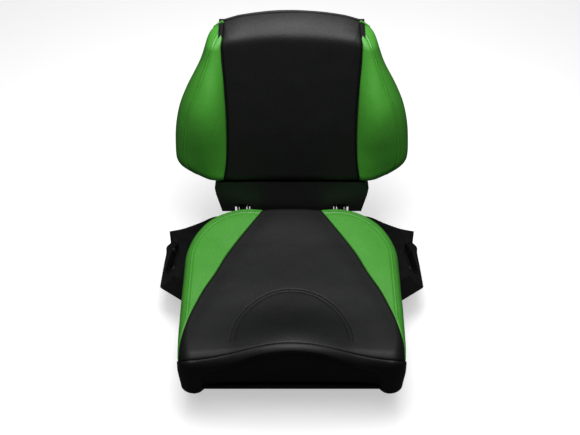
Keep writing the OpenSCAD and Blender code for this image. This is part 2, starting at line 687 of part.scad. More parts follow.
// A spring of round wire, as one closed tube swept along a helix
coil_steps = 14;
coil_sides = 6;
module coil(r, wire_r, z0, z1, turns) {
  n = turns * coil_steps;
  pitch = (z1 - z0) / turns;
  lean = atan2(pitch, 2 * PI * r);
  rings = [for (i = [0:n], k = [0:coil_sides - 1])
    let (a = 360 * i / coil_steps, b = 360 * k / coil_sides, out = wire_r * cos(b), up = wire_r * sin(b))
    [(r + out) * cos(a) + up * sin(lean) * sin(a), (r + out) * sin(a) - up * sin(lean) * cos(a),
     z0 + (z1 - z0) * i / n + up * cos(lean)]];
  m = coil_sides;
  faces = concat(
    [[for (k = [0:m - 1]) k]],
    [for (i = [0:n - 1], k = [0:m - 1])
      [i * m + k, (i + 1) * m + k, (i + 1) * m + (k + 1) % m, i * m + (k + 1) % m]],
    [[for (k = [m - 1:-1:0]) n * m + k]]);
  polyhedron(points = rings, faces = faces, convexity = 10);
}

// ---------- adjuster bar and latch ----------

hanger_w = upper_w - 4;
module latch_hangers() color("#2f3032") for (side = [-1, 1]) translate([side * rail_x, rod_y, upper_top])
  difference() {
    union() {
      linear_extrude(3) square([hanger_w, 2 * hanger_bolt_y + 12], center = true);
      translate([0, 0, rod_z - upper_top]) rotate([0, 90, 0])
        cylinder(r = bar_r + 2, h = hanger_w, center = true, $fn = 64);
    }
    translate([0, 0, rod_z - upper_top]) rotate([0, 90, 0])
      cylinder(r = bar_r + run, h = far, center = true, $fn = 64);
    for (y = [-hanger_bolt_y, hanger_bolt_y])
      translate([0, y, -1]) cylinder(r = screw_r + loose, h = 10, $fn = 48);
  }
module hanger_bolts() color("#9c9ea1") for (side = [-1, 1], y = [-hanger_bolt_y, hanger_bolt_y])
  translate([side * rail_x, rod_y + y, upper_top + 3]) screw(screw_r, 3 + flange_t + 1, 3.8, 3);

bar_drop = 8; // how much lower the bar is at its front
bar_lean = asin(bar_drop / bar_reach);
rod_half = rail_x + hanger_w / 2 + 6;
bar_end_r = bar_r - 0.5; // the bent bar in front of its rod
bend_r = 22;
grip_len = 120;
module bar_frame() translate([0, rod_y, rod_z]) rotate([bar_lean, 0, 0]) children();
module adjuster_bar() color("#4a4b4d") {
  translate([0, rod_y, rod_z]) rotate([0, 90, 0])
    cylinder(r = bar_r, h = 2 * rod_half, center = true, $fn = 64);
  for (side = [0, 1]) bar_frame() mirror([side, 0, 0]) {
    translate([bar_spacing / 2, 0, 0]) rotate([90, 0, 0])
      cylinder(r = bar_end_r, h = bar_reach - bend_r, $fn = 48);
    translate([bar_spacing / 2 - bend_r, bend_r - bar_reach, 0]) rotate([0, 0, -90])
      rotate_extrude(angle = 90, $fn = 64) translate([bend_r, 0]) circle(r = bar_end_r, $fn = 48);
  }
  bar_frame() translate([0, -bar_reach, 0]) rotate([0, 90, 0])
    cylinder(r = bar_end_r, h = bar_spacing - 2 * bend_r, center = true, $fn = 48);
}
module adjuster_grip() color("#141415") bar_frame() translate([0, -bar_reach, 0]) rotate([0, 90, 0])
  difference() {
    cylinder(r = bar_r + 2.5, h = grip_len, center = true, $fn = 48);
    cylinder(r = bar_end_r + run, h = grip_len + 10, center = true, $fn = 48);
  }

pawl_x = rail_x - slot_half - latch_w / 2 - 0.5;
tooth_z = rail_h + gap; // tips of the latch teeth
tooth_w = slot_pitch / 2;
module latch_pawl(side) color("#6d6f72") translate([side * pawl_x, 0, 0]) difference() {
  along_x(latch_w) union() {
    translate([rod_y, rod_z]) circle(r = bar_r + 3.5, $fn = 64);
    polygon([
      [rod_y + 2, rod_z + bar_r + 3], [rod_y - 6, rod_z + bar_r + 3], [rod_y - 40, tooth_z + 10],
      [rod_y - 40, tooth_z + 4], [rod_y - 8, tooth_z + 4], [rod_y - 2, rod_z - bar_r]]);
    for (i = [0:1]) translate([rod_y - 32 + i * slot_pitch - tooth_w / 2, tooth_z]) square([tooth_w, 8]);
  }
  translate([0, rod_y, rod_z]) rotate([0, 90, 0]) cylinder(r = bar_r + 0.02, h = 20, center = true, $fn = 64);
}
// Springs round the pivot rod that press the latch down
spring_len = 16;
module latch_spring(side) color("#a9abad")
  translate([side * (pawl_x - latch_w / 2 - spring_len - 0.6), rod_y, rod_z]) rotate([0, side * 90, 0])
    coil(bar_r + 1.3, 0.8, 0, spring_len - 0.6, 5);

// ---------- backrest ----------

frame_low_h = 8; // where the arms start to bend back
frame_high_h = 52; // where they run straight again
frame_top = 0.78 * back_h;
cross_bars = [pad_low + 62, pad_low + 0.6 * back_h];
frame_bar_w = 30;
board_in = 34; // how far the board's edge lies inside the pad's
module backrest_frame() color("#2b2c2e") leaning() difference() {
  union() {
    for (side = [-1, 1]) translate([side * arm_x, 0, 0]) {
      along_x(arm_w) polygon([
        [pivot_d - arm_t / 2, pivot_h], [pivot_d - arm_t / 2, frame_low_h], [arm_d, frame_high_h],
        [arm_d, frame_top], [arm_d + arm_t, frame_top], [arm_d + arm_t, frame_high_h - 2],
        [pivot_d + arm_t / 2, frame_low_h - 2], [pivot_d + arm_t / 2, pivot_h]]);
      translate([0, pivot_d, pivot_h]) rotate([0, 90, 0])
        cylinder(r = pivot_r + 5, h = arm_w, center = true, $fn = 64);
      // Heel below the pivot that meets the stop
      translate([0, pivot_d, pivot_h]) rotate([back_lean, 0, 0])
        translate([-arm_w / 2 + 2, heel_y - pivot_y, -heel_len]) cube([arm_w - 4, heel_t, heel_len - 2]);
    }
    for (h = cross_bars) along_back(bar_d, arm_d + 0.5) translate([-arm_x - arm_w / 2, h - frame_bar_w / 2])
      square([2 * arm_x + arm_w, frame_bar_w]);
  }
  for (side = [-1, 1]) translate([side * arm_x, pivot_d, pivot_h]) rotate([0, 90, 0])
    cylinder(r = pivot_r + 2, h = 60, center = true, $fn = 64);
  for (x = [-board_screw_x, board_screw_x], h = cross_bars)
    translate([x, arm_d + 2, h]) rotate([90, 0, 0]) cylinder(r = screw_r + loose, h = 20, $fn = 48);
}
board_screw_x = 60;
module pivot_bush(side) color("#ddd8c8") leaning()
  translate([side * arm_x, pivot_d, pivot_h]) rotate([0, 90, 0]) difference() {
    cylinder(r = pivot_r + 2 - 0.02, h = arm_w, center = true, $fn = 64);
    cylinder(r = pivot_r + run, h = far, center = true, $fn = 64);
  }
module backrest_board() color("#9b7d52") leaning() difference() {
  along_back(board_d, board_d + board_t - gap / 2) pad_front(board_in);
  for (x = [-board_screw_x, board_screw_x], h = cross_bars)
    translate([x, board_d + 20, h]) rotate([90, 0, 0]) cylinder(r = screw_r + loose, h = 30, $fn = 48);
}
module board_screws() color("#9c9ea1") leaning() for (x = [-board_screw_x, board_screw_x], h = cross_bars)
  translate([x, arm_d + 0.5, h]) rotate([-90, 0, 0])
    screw(screw_r, frame_bar_t + board_t - 0.5, 5, 3);

// Moulded shell: a tray behind the pad, with a skirt that comes forward under it
shell_in = 9; // how far the shell's edge lies inside the pad's
shell_screws_at = [[140, pad_low + 45], [150, pad_low + 0.45 * back_h], [100, pad_low + 0.88 * back_h]];
shoulder_h = pad_low + 0.75 * back_h; // where the shell's back turns forward
boss_r = 6;
function boss_top(h) = shell_back - 1 - (h > shoulder_h ? 6 : 0);
notch_w = 2 * (ear_in + bracket_t + 4);
notch_h = 20;
function skirt_half(i) = [
  [0.47 * skirt_w - i, pad_low + 30], [0.47 * skirt_w - i, pad_low + 5], [0.5 * skirt_w - i, pad_low - 18],
  [0.5 * skirt_w - 1 - i, pad_low - 25], [0.492 * skirt_w - i, pad_low - 36],
  [0.456 * skirt_w - i, skirt_low]];
module skirt_front(i = 0, low = 0) {
  half = concat(skirt_half(i), [[0.456 * skirt_w - i, skirt_low - low]]);
  polygon(concat(half, mirrored(half)));
}
back_line = [ // the shell's back seen from the side, from the skirt up
  [shell_back - 22, skirt_low - 1], [shell_back, pad_low], [shell_back, shoulder_h],
  [shell_back - 16, pad_top - shell_in + 2]];
module shell_upright() polygon(concat([[-far, skirt_low - 1]], back_line, [[-far, pad_top + 10]]));
module shell_upright_open() polygon(concat(
  [[-far, skirt_low - 20], [shell_back - 26, skirt_low - 20]], back_line, [[-far, pad_top + 10]]));
module shell_outer() intersection() {
  union() {
    along_back(shell_d, shell_back) pad_front(shell_in);
    along_back(skirt_d, shell_back) skirt_front();
  }
  along_x(far) shell_upright();
}
module shell_inner() intersection() {
  union() {
    along_back(shell_d - 1, shell_back) pad_front(shell_in + shell_t);
    along_back(skirt_d + shell_t, shell_back) skirt_front(shell_t, 10);
  }
  along_x(far) translate([-shell_t, 0]) shell_upright_open();
}
module backrest_shell() color("#0d0d0e") leaning() difference() {
  union() {
    difference() {
      shell_outer();
      shell_inner();
      // The pad's lower edge passes in front of the skirt
      along_back(-20, shell_d) translate([-far / 2, pad_low - 2]) square([far, far]);
      // Notches that clear the hinge brackets as the backrest folds
      for (side = [-1, 1]) along_back(skirt_d - 1, skirt_d + shell_t + 1)
        translate([side * arm_x - notch_w / 2, skirt_low - 1]) square([notch_w, notch_h + 1]);
    }
    for (side = [-1, 1], p = shell_screws_at)
      translate([side * p[0], boss_top(p[1]), p[1]]) rotate([90, 0, 0])
        cylinder(r = boss_r, h = boss_top(p[1]) - board_d - board_t, $fn = 48);
  }
  for (side = [-1, 1], p = shell_screws_at)
    translate([side * p[0], shell_back + 1, p[1]]) rotate([90, 0, 0]) {
      cylinder(r = shell_screw_r + loose, h = far, $fn = 48);
      cylinder(r = 4.5, h = 8, $fn = 48);
    }
}
module shell_screws() color("#3c3d3f") leaning() for (side = [-1, 1], p = shell_screws_at)
  translate([side * p[0], shell_back - 7, p[1]]) rotate([-90, 0, 0])
    screw(shell_screw_r, shell_depth - 14, 4.2, 2.5);

module backrest_foam() color("#d8c89a") leaning() pad_body(cover_t + gap);
module back_panel() along_back(-200, 200) translate([-back_panel_w / 2, 0]) square([back_panel_w, far]);
module backrest_cover_centre() color("#121213") leaning() intersection() {
  pad_cover_shell();
  back_panel();
}
module backrest_cover_side(side) color("#3f9e35") leaning() intersection() {
  difference() {
    pad_cover_shell();
    back_panel();
  }
  one_side(side);
}

lower_rail(-1);  // lower_rail_left
lower_rail(1);  // lower_rail_right
slide_stops();
upper_rail(-1);  // upper_rail_left
upper_rail(1);  // upper_rail_right
rail_glides(-1);  // rail_glides_left
rail_glides(1);  // rail_glides_right
stop_pins();
pan_standoffs();
rear_cross_tube();
rail_bolts();
seat_pan();
seat_foam();
seat_cover_centre();
seat_cover_side(-1);  // seat_cover_left
seat_cover_side(1);  // seat_cover_right
seat_cover_front();
side_wing(-1);  // side_wing_left
side_wing(1);  // side_wing_right
wing_screws();
hinge_bracket(-1);  // hinge_bracket_left
hinge_bracket(1);  // hinge_bracket_right
bracket_bolts();
pivot_bolt(-1);  // pivot_bolt_left
pivot_bolt(1);  // pivot_bolt_right
pivot_nuts();
pivot_washers();
backrest_stops();
switch_body();
switch_plunger();
switch_spring();
switch_terminals();
latch_hangers();
hanger_bolts();
adjuster_bar();
adjuster_grip();
latch_pawl(-1);  // latch_pawl_left
latch_pawl(1);  // latch_pawl_right
latch_spring(-1);  // latch_spring_left
latch_spring(1);  // latch_spring_right
backrest_frame();
pivot_bush(-1);  // pivot_bush_left
pivot_bush(1);  // pivot_bush_right
backrest_board();
board_screws();
backrest_shell();
shell_screws();
backrest_foam();
backrest_cover_centre();
backrest_cover_side(-1);  // backrest_cover_left
backrest_cover_side(1);  // backrest_cover_right
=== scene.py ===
import math

import bmesh
import bpy
from mathutils import Matrix, Vector, noise
from mathutils.bvhtree import BVHTree
from mathutils.kdtree import KDTree


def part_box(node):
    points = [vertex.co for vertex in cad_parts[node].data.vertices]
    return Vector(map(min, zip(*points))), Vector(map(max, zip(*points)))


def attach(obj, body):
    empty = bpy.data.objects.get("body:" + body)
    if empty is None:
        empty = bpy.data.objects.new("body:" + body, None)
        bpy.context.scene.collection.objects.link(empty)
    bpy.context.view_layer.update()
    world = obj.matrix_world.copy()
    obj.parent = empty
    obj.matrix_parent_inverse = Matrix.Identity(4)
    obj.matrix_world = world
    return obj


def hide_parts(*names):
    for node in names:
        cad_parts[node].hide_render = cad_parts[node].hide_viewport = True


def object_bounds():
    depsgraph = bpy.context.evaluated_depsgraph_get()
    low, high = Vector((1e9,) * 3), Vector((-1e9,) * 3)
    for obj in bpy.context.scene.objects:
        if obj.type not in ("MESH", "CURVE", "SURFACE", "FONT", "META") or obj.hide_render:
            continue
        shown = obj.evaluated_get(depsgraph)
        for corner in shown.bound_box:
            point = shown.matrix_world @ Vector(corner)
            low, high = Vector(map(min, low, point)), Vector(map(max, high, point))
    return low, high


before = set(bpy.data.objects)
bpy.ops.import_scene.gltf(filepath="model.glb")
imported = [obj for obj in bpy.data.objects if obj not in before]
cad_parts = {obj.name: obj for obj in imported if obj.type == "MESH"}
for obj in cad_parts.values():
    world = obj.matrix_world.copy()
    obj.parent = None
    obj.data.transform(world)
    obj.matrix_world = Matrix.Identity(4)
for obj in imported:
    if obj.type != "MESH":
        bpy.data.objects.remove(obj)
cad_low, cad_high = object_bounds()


# ---------- Camera ----------
# A long lens about 2.6 m away, in front of the seat and looking down on it at 45 degrees.

MM = 0.001
scene = bpy.context.scene
camera_data = bpy.data.cameras.new("camera")
camera_data.lens = 68.8
camera_data.shift_x = -0.003
camera = bpy.data.objects.new("camera", camera_data)
scene.collection.objects.link(camera)
camera_tilt = math.radians(45)
camera_aim = Vector((0, 175, 170)) * MM
camera_distance = 2.6
camera.location = camera_aim + camera_distance * Vector((0, -math.cos(camera_tilt), math.sin(camera_tilt)))
camera.rotation_euler = (math.pi / 2 - camera_tilt, 0, 0)
scene.camera = camera


# ---------- Floor and light ----------
# A plain white floor under a wide soft lamp high overhead, with a smaller lamp just above the seat
# for the tops of the cushions. The floor throws no light back on the seat, so dark faces stay dark.

def linear(code):
    """An sRGB hex colour as linear red, green, blue and alpha."""
    parts = [int(code[i:i + 2], 16) / 255 for i in (1, 3, 5)]
    return tuple(p / 12.92 if p <= 0.04045 else ((p + 0.055) / 1.055) ** 2.4 for p in parts) + (1,)


def add_node(tree, kind, inputs=None, **settings):
    """A shader node with its settings; each input is a plain value or another node's output."""
    made = tree.nodes.new(kind)
    for name, value in settings.items():
        setattr(made, name, value)
    for name, value in (inputs or {}).items():
        if isinstance(value, bpy.types.NodeSocket):
            tree.links.new(value, made.inputs[name])
        else:
            made.inputs[name].default_value = value
    return made


def new_material(name):
    """An empty node material, its tree and the place of each point in metres."""
    material = bpy.data.materials.new(name)
    material.use_nodes = True
    material.node_tree.nodes.clear()
    place = add_node(material.node_tree, "ShaderNodeTexCoord").outputs["Object"]
    return material, material.node_tree, place


def set_surface(tree, shader):
    add_node(tree, "ShaderNodeOutputMaterial", {"Surface": shader.outputs["BSDF"]})


# Painted studio floor: matt white paint, so no highlight, only the soft shadow shows.
floor_paint, tree, place = new_material("matt_white_studio_paint")
mottle = add_node(tree, "ShaderNodeTexNoise", {"Vector": place, "Scale": 6.0, "Detail": 2.0})
tone = add_node(tree, "ShaderNodeMapRange", {"Value": mottle.outputs["Fac"], "To Min": 0.9, "To Max": 0.92})
set_surface(tree, add_node(tree, "ShaderNodeBsdfPrincipled", {
    "Base Color": tone.outputs["Result"], "Roughness": 0.9, "Specular IOR Level": 0.1,
    "Emission Color": (1, 1, 1, 1), "Emission Strength": 0.5}))

floor_half = 9.0
floor_mesh = bpy.data.meshes.new("floor")
floor_mesh.from_pydata(
    [(x, y, 0) for x, y in ((-1, -1), (1, -1), (1, 1), (-1, 1))], [], [(0, 1, 2, 3)])
floor_mesh.transform(Matrix.Scale(floor_half, 4))
floor_mesh.materials.append(floor_paint)
floor = bpy.data.objects.new("floor", floor_mesh)
floor.location.z = cad_low.z - 0.0005
scene.collection.objects.link(floor)
floor.visible_glossy = False
floor.visible_diffuse = False


def add_lamp(name, place, aim, size, power):
    data = bpy.data.lights.new(name, "AREA")
    data.shape = "DISK"
    data.size = size
    data.energy = power
    lamp = bpy.data.objects.new(name, data)
    lamp.location = place
    lamp.rotation_mode = "QUATERNION"
    lamp.visible_camera = False
    lamp.rotation_quaternion = (Vector(aim) - Vector(place)).to_track_quat("-Z", "Y")
    scene.collection.objects.link(lamp)


add_lamp("ceiling_lamp", (0, -0.3, 3.0), (0, 0, 0), 3.6, 46)
add_lamp("near_lamp", (0, 0.08, 1.3), (0, 0.12, 0.2), 0.9, 10.5)
world = bpy.data.worlds.new("studio")
world.use_nodes = True
world.node_tree.nodes["Background"].inputs["Color"].default_value = (1, 1, 1, 1)
world.node_tree.nodes["Background"].inputs["Strength"].default_value = 0.045
scene.world = world
scene.view_settings.view_transform = "Standard"


# ---------- Slide rails ----------
# Two pairs of roll-formed steel rails, phosphated and thinly painted, with riveted studs and pins of
# bright zinc-plated steel and acetal shoes between them. They keep their exact shapes from the design.

def bumped(tree, height, depth_mm):
    """The bumped normal for a height pattern from 0 to 1 that is depth_mm deep."""
    bump = add_node(tree, "ShaderNodeBump", {
        "Height": height, "Distance": depth_mm * MM, "Strength": 1.0})
    return bump.outputs["Normal"]


def finish_nodes(material, names, edge_mm=0.5):
    """Gives rigid pieces their material and breaks their sharp edges, as on a deburred or moulded part."""
    same_point_mm = 0.01
    sharp_angle = math.radians(35)
    for name in names:
        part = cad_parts[name]
        for slot in part.material_slots:
            slot.material = material
        weld = part.modifiers.new("weld", "WELD")
        weld.merge_threshold = same_point_mm * MM
        edge = part.modifiers.new("broken_edge", "BEVEL")
        edge.width = edge_mm * MM
        edge.segments = 2
        edge.limit_method = "ANGLE"
        edge.angle_limit = sharp_angle
        edge.use_clamp_overlap = True
        edge.harden_normals = False


# Black phosphate under thin paint: dark grey, half matt, with faint rolling lines along the rail.
rail_finish, tree, place = new_material("phosphated_painted_steel")
rolling = add_node(tree, "ShaderNodeMapping", {"Vector": place, "Scale": (1000, 8, 1000)})
lines = add_node(tree, "ShaderNodeTexNoise", {
    "Vector": rolling.outputs["Vector"], "Scale": 1.0, "Detail": 3.0})
patches = add_node(tree, "ShaderNodeTexNoise", {"Vector": place, "Scale": 35.0, "Detail": 4.0})
colour = add_node(tree, "ShaderNodeMix", {
    "Factor": patches.outputs["Fac"], "A": linear("#2c2d2f"), "B": linear("#424346")}, data_type="RGBA")
rough = add_node(tree, "ShaderNodeMapRange", {
    "Value": patches.outputs["Fac"], "To Min": 0.38, "To Max": 0.55})
set_surface(tree, add_node(tree, "ShaderNodeBsdfPrincipled", {
    "Base Color": colour.outputs["Result"], "Metallic": 0.6, "Roughness": rough.outputs["Result"],
    "Normal": bumped(tree, lines.outputs["Fac"], 0.05)}))
finish_nodes(rail_finish, ["lower_rail_left", "lower_rail_right", "upper_rail_left", "upper_rail_right"])

# Bright zinc plate: pale grey metal with a slightly clouded, brushed look.
zinc, tree, place = new_material("bright_zinc_plated_steel")
cloud = add_node(tree, "ShaderNodeTexNoise", {"Vector": place, "Scale": 220.0, "Detail": 4.0})
colour = add_node(tree, "ShaderNodeMix", {
    "Factor": cloud.outputs["Fac"], "A": linear("#a3a6aa"), "B": linear("#c9ccd0")}, data_type="RGBA")
rough = add_node(tree, "ShaderNodeMapRange", {"Value": cloud.outputs["Fac"], "To Min": 0.24, "To Max": 0.42})
set_surface(tree, add_node(tree, "ShaderNodeBsdfPrincipled", {
    "Base Color": colour.outputs["Result"], "Metallic": 1.0, "Roughness": rough.outputs["Result"],
    "Normal": bumped(tree, cloud.outputs["Fac"], 0.03)}))
finish_nodes(zinc, ["slide_stops", "stop_pins"], 0.2)

# Natural acetal: milky white moulded plastic, waxy and a little translucent.
acetal, tree, place = new_material("natural_acetal")
flow = add_node(tree, "ShaderNodeTexNoise", {"Vector": place, "Scale": 90.0, "Detail": 2.0})
colour = add_node(tree, "ShaderNodeMix", {
    "Factor": flow.outputs["Fac"], "A": linear("#dcd8cc"), "B": linear("#ece9df")}, data_type="RGBA")
set_surface(tree, add_node(tree, "ShaderNodeBsdfPrincipled", {
    "Base Color": colour.outputs["Result"], "Roughness": 0.42, "IOR": 1.48,
    "Normal": bumped(tree, flow.outputs["Fac"], 0.04)}))
finish_nodes(acetal, ["rail_glides_left", "rail_glides_right"], 0.2)


# ---------- Seat frame ----------
# A square cross tube and two standoff blocks of steel, bolted through into the upper rails. They are
# powder coated black, as are the hinge brackets, the latch hangers and the adjuster bar.

# Black powder coat: satin black with the soft orange peel of baked powder, about 2 mm across.
powder_coat, tree, place = new_material("black_powder_coated_steel")
peel = add_node(tree, "ShaderNodeTexNoise", {"Vector": place, "Scale": 500.0, "Detail": 1.5})
dust = add_node(tree, "ShaderNodeTexNoise", {"Vector": place, "Scale": 40.0, "Detail": 4.0})
colour = add_node(tree, "ShaderNodeMix", {
    "Factor": dust.outputs["Fac"], "A": linear("#17181a"), "B": linear("#232427")}, data_type="RGBA")
rough = add_node(tree, "ShaderNodeMapRange", {"Value": dust.outputs["Fac"], "To Min": 0.3, "To Max": 0.46})
set_surface(tree, add_node(tree, "ShaderNodeBsdfPrincipled", {
    "Base Color": colour.outputs["Result"], "Roughness": rough.outputs["Result"], "IOR": 1.5,
    "Normal": bumped(tree, peel.outputs["Fac"], 0.12)}))
finish_nodes(powder_coat, ["pan_standoffs", "rear_cross_tube"], 0.8)
finish_nodes(zinc, ["rail_bolts"], 0.25)


# ---------- Seat pan ----------
# The tray under the cushion: black polypropylene, injection moulded with a fine spark-eroded
# texture. Its raised front follows the cushion's underside.

pan_plastic, tree, place = new_material("textured_polypropylene")
grit = add_node(tree, "ShaderNodeTexNoise", {"Vector": place, "Scale": 900.0, "Detail": 2.0})
drift = add_node(tree, "ShaderNodeTexNoise", {"Vector": place, "Scale": 14.0, "Detail": 3.0})
colour = add_node(tree, "ShaderNodeMix", {
    "Factor": drift.outputs["Fac"], "A": linear("#161719"), "B": linear("#1f2022")}, data_type="RGBA")
rough = add_node(tree, "ShaderNodeMapRange", {"Value": grit.outputs["Fac"], "To Min": 0.45, "To Max": 0.62})
set_surface(tree, add_node(tree, "ShaderNodeBsdfPrincipled", {
    "Base Color": colour.outputs["Result"], "Roughness": rough.outputs["Result"], "IOR": 1.49,
    "Normal": bumped(tree, grit.outputs["Fac"], 0.1)}))
finish_nodes(pan_plastic, ["seat_pan"], 0.8)
finish_nodes(zinc, ["wing_screws"], 0.2)


# ---------- Seat cushion ----------
# A moulded foam bun in a sewn vinyl cover: a black centre panel between two green side panels, and
# a black band round the front over a recessed boxing. The seams pull the cover down into the foam.

def smooth_line(points, steps=12):
    """A smooth curve through the points, in plan."""
    ends = [points[0], *points, points[-1]]
    line = []
    for a, b, c, d in zip(ends, ends[1:], ends[2:], ends[3:]):
        for k in range(steps):
            t = k / steps
            line.append(0.5 * (2 * b + (c - a) * t + (2 * a - 5 * b + 4 * c - d) * t * t
                               + (3 * b - a - 3 * c + d) * t ** 3))
    return line + [points[-1]]


def flat(pairs):
    """Points in plan, in metres, from pairs in millimetres."""
    return [Vector(pair) * MM for pair in pairs]


def spaced(line, shares):
    """The points of a line at these shares of its length."""
    reach = [0.0]
    for a, b in zip(line, line[1:]):
        reach.append(reach[-1] + (b - a).length)
    found = []
    k = 0
    for share in shares:
        goal = share * reach[-1]
        while k < len(line) - 2 and reach[k + 1] < goal:
            k += 1
        step = reach[k + 1] - reach[k]
        found.append(line[k].lerp(line[k + 1], min(1.0, (goal - reach[k]) / step) if step else 0.0))
    return found


def shares(count, crowd_start=0.0, crowd_end=0.0):
    """Even shares from 0 to 1, crowded towards either end by as much as asked."""
    made = []
    for k in range(count + 1):
        t = k / count
        t += crowd_end * (math.sin(t * math.pi / 2) - t)
        t += crowd_start * ((1 - math.cos(t * math.pi / 2)) - t)
        made.append(t)
    return made


def ease(t):
    """0 below 0, 1 above 1 and smooth between."""
    t = min(1.0, max(0.0, t))
    return t * t * (3 - 2 * t)


def between(table, at):
    """The value at a place in a table of (place, value) pairs, eased from one to the next."""
    for (a, va), (b, vb) in zip(table, table[1:]):
        if at <= b:
            return va + (vb - va) * min(1.0, max(0.0, (at - a) / (b - a)))
    return table[-1][1]


def rounding(inside, radius):
    """How far a rounded edge has dropped at a distance inside the outline."""
    if inside >= radius:
        return 0.0
    return radius - math.sqrt(max(0.0, radius ** 2 - (radius - max(0.0, inside)) ** 2))


def nearest_tree(points):
    tree = KDTree(len(points))
    for k, point in enumerate(points):
        tree.insert(point, k)
    tree.balance()
    return tree


def distance_in(tree, x, y):
    """How far a place lies from an outline, measured to the line between its two nearest points."""
    place = Vector((x, y, 0))
    found = [point for point, _, _ in tree.find_n(place, 4)]
    start = found[0]
    end = next((point for point in found[1:] if (point - start).length > 0.02 * MM), None)
    if end is None:
        return (place - start).length
    along = end - start
    share = min(1.0, max(0.0, (place - start).dot(along) / along.length_squared))
    return (place - start - along * share).length


def mirrored(points):
    """The same points on the other side of the middle, in the opposite order."""
    return [Vector((-p[0], *p[1:])) for p in reversed(points)]


class Groove:
    """A sewn line that draws the cover in sharply along a path, and softly for 25 mm on either side."""
    def __init__(self, points, depth_mm, width_mm, pull_mm=0.0):
        self.tree = nearest_tree(points)
        self.depth = depth_mm * MM
        self.width = width_mm * MM
        self.pull = pull_mm * MM

    def at(self, point):
        away = self.tree.find(point)[2]
        return (self.depth * math.exp(-(away / self.width) ** 2)
                + self.pull * math.exp(-(away / (25 * MM)) ** 2))


def sheet_object(name, rows, material, heart, grooves=(), ripple_mm=0.0, thickness_mm=1.8):
    """A cover panel from rows of points, drawn in along its grooves, as thick as backed vinyl. It faces
    away from heart, a point inside the foam."""
    same_point_mm = 0.004
    no_length_mm = 0.002
    ripple_reach = 45 * MM
    wide = len(rows[0])
    mesh = bpy.data.meshes.new(name)
    faces = [(r * wide + c, r * wide + c + 1, (r + 1) * wide + c + 1, (r + 1) * wide + c)
             for r in range(len(rows) - 1) for c in range(wide - 1)]
    mesh.from_pydata([p for row in rows for p in row], [], faces)
    shape = bmesh.new()
    shape.from_mesh(mesh)
    bmesh.ops.remove_doubles(shape, verts=shape.verts, dist=same_point_mm * MM)
    bmesh.ops.dissolve_degenerate(shape, edges=shape.edges, dist=no_length_mm * MM)
    bmesh.ops.recalc_face_normals(shape, faces=shape.faces)
    outward = sum(f.normal.dot(f.calc_center_median() - heart) * f.calc_area() for f in shape.faces)
    if outward < 0:
        bmesh.ops.reverse_faces(shape, faces=shape.faces)
    shape.normal_update()
    moves = []
    for vertex in shape.verts:
        sink = sum(groove.at(vertex.co) for groove in grooves)
        wave = ripple_mm * MM * noise.noise(vertex.co / ripple_reach)
        moves.append(vertex.normal * (wave - sink))
    for vertex, move in zip(shape.verts, moves):
        vertex.co += move
    for face in shape.faces:
        face.smooth = True
    shape.to_mesh(mesh)
    shape.free()
    mesh.materials.append(material)
    piece = bpy.data.objects.new(name, mesh)
    scene.collection.objects.link(piece)
    if thickness_mm:
        cloth = piece.modifiers.new("vinyl_thickness", "SOLIDIFY")
        cloth.thickness = thickness_mm * MM
        cloth.offset = -1.0
    return piece


def vinyl(name, dark, light, valley_shade, roughness, gloss):
    """Grained upholstery vinyl: PVC on a knitted back, embossed with a pebble grain about 1.5 mm across.
    The grain breaks up the sheen into a soft glow, and its valleys are painted a little darker, as painted
    shade in the hollows of the grain."""
    material, tree, place = new_material(name)
    grain = add_node(tree, "ShaderNodeTexVoronoi", {"Vector": place, "Scale": 620.0, "Smoothness": 0.6},
                     feature="SMOOTH_F1")
    creases = add_node(tree, "ShaderNodeTexNoise", {"Vector": place, "Scale": 260.0, "Detail": 4.0})
    tones = add_node(tree, "ShaderNodeTexNoise", {"Vector": place, "Scale": 22.0, "Detail": 3.0})
    base = add_node(tree, "ShaderNodeMix", {
        "Factor": tones.outputs["Fac"], "A": linear(dark), "B": linear(light)}, data_type="RGBA")
    # Painted shade: the grain's valleys are mixed towards a darker colour.
    valley_shade_mask = add_node(tree, "ShaderNodeMapRange", {
        "Value": grain.outputs["Distance"], "From Min": 0.35, "From Max": 0.75, "To Max": 0.4})
    colour = add_node(tree, "ShaderNodeMix", {
        "Factor": valley_shade_mask.outputs["Result"], "A": base.outputs["Result"], "B": linear(valley_shade)},
        data_type="RGBA")
    height = add_node(tree, "ShaderNodeMath", {
        0: creases.outputs["Fac"], 1: grain.outputs["Distance"]}, operation="SUBTRACT")
    rough = add_node(tree, "ShaderNodeMapRange", {
        "Value": creases.outputs["Fac"], "To Min": roughness - 0.07, "To Max": roughness + 0.07})
    set_surface(tree, add_node(tree, "ShaderNodeBsdfPrincipled", {
        "Base Color": colour.outputs["Result"], "Roughness": rough.outputs["Result"], "IOR": 1.5,
        "Specular IOR Level": gloss, "Normal": bumped(tree, height.outputs[0], 0.25)}))
    return material


# The third colour of each vinyl is the painted shade in the grain's valleys.
black_vinyl = vinyl("black_grained_vinyl", "#0b0b0c", "#111112", "#050506", 0.52, 0.38)
green_vinyl = vinyl("green_grained_vinyl", "#40922b", "#4ea336", "#2c701b", 0.47, 0.5)

cushion_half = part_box("seat_cover_right")[1].x
cushion_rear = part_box("seat_cover_centre")[1].y
cushion_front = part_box("seat_cover_front")[0].y
cushion_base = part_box("seat_foam")[0].z
cushion_back_edge = cushion_base + 97 * MM
shoulder_x = 95 * MM
shoulder_y = 55 * MM
corner = 34 * MM

corner_centre = Vector((cushion_half - corner, cushion_front + corner))
corner_turn = -13.6
seam_end = corner_centre + corner * Vector((
    math.cos(math.radians(corner_turn)), math.sin(math.radians(corner_turn))))
seat_seam = smooth_line(
    [Vector((70 * MM, cushion_rear))]
    + flat([(76, 200), (140, 80), (170, 5), (200, -65), (235, -180)]) + [seam_end])


def arc(centre, radii, start, end, count):
    """Points round part of an ellipse, from one angle in degrees to another."""
    turns = [math.radians(start + (end - start) * k / count) for k in range(count + 1)]
    return [Vector((centre[0] + radii[0] * math.cos(a), centre[1] + radii[1] * math.sin(a))) for a in turns]


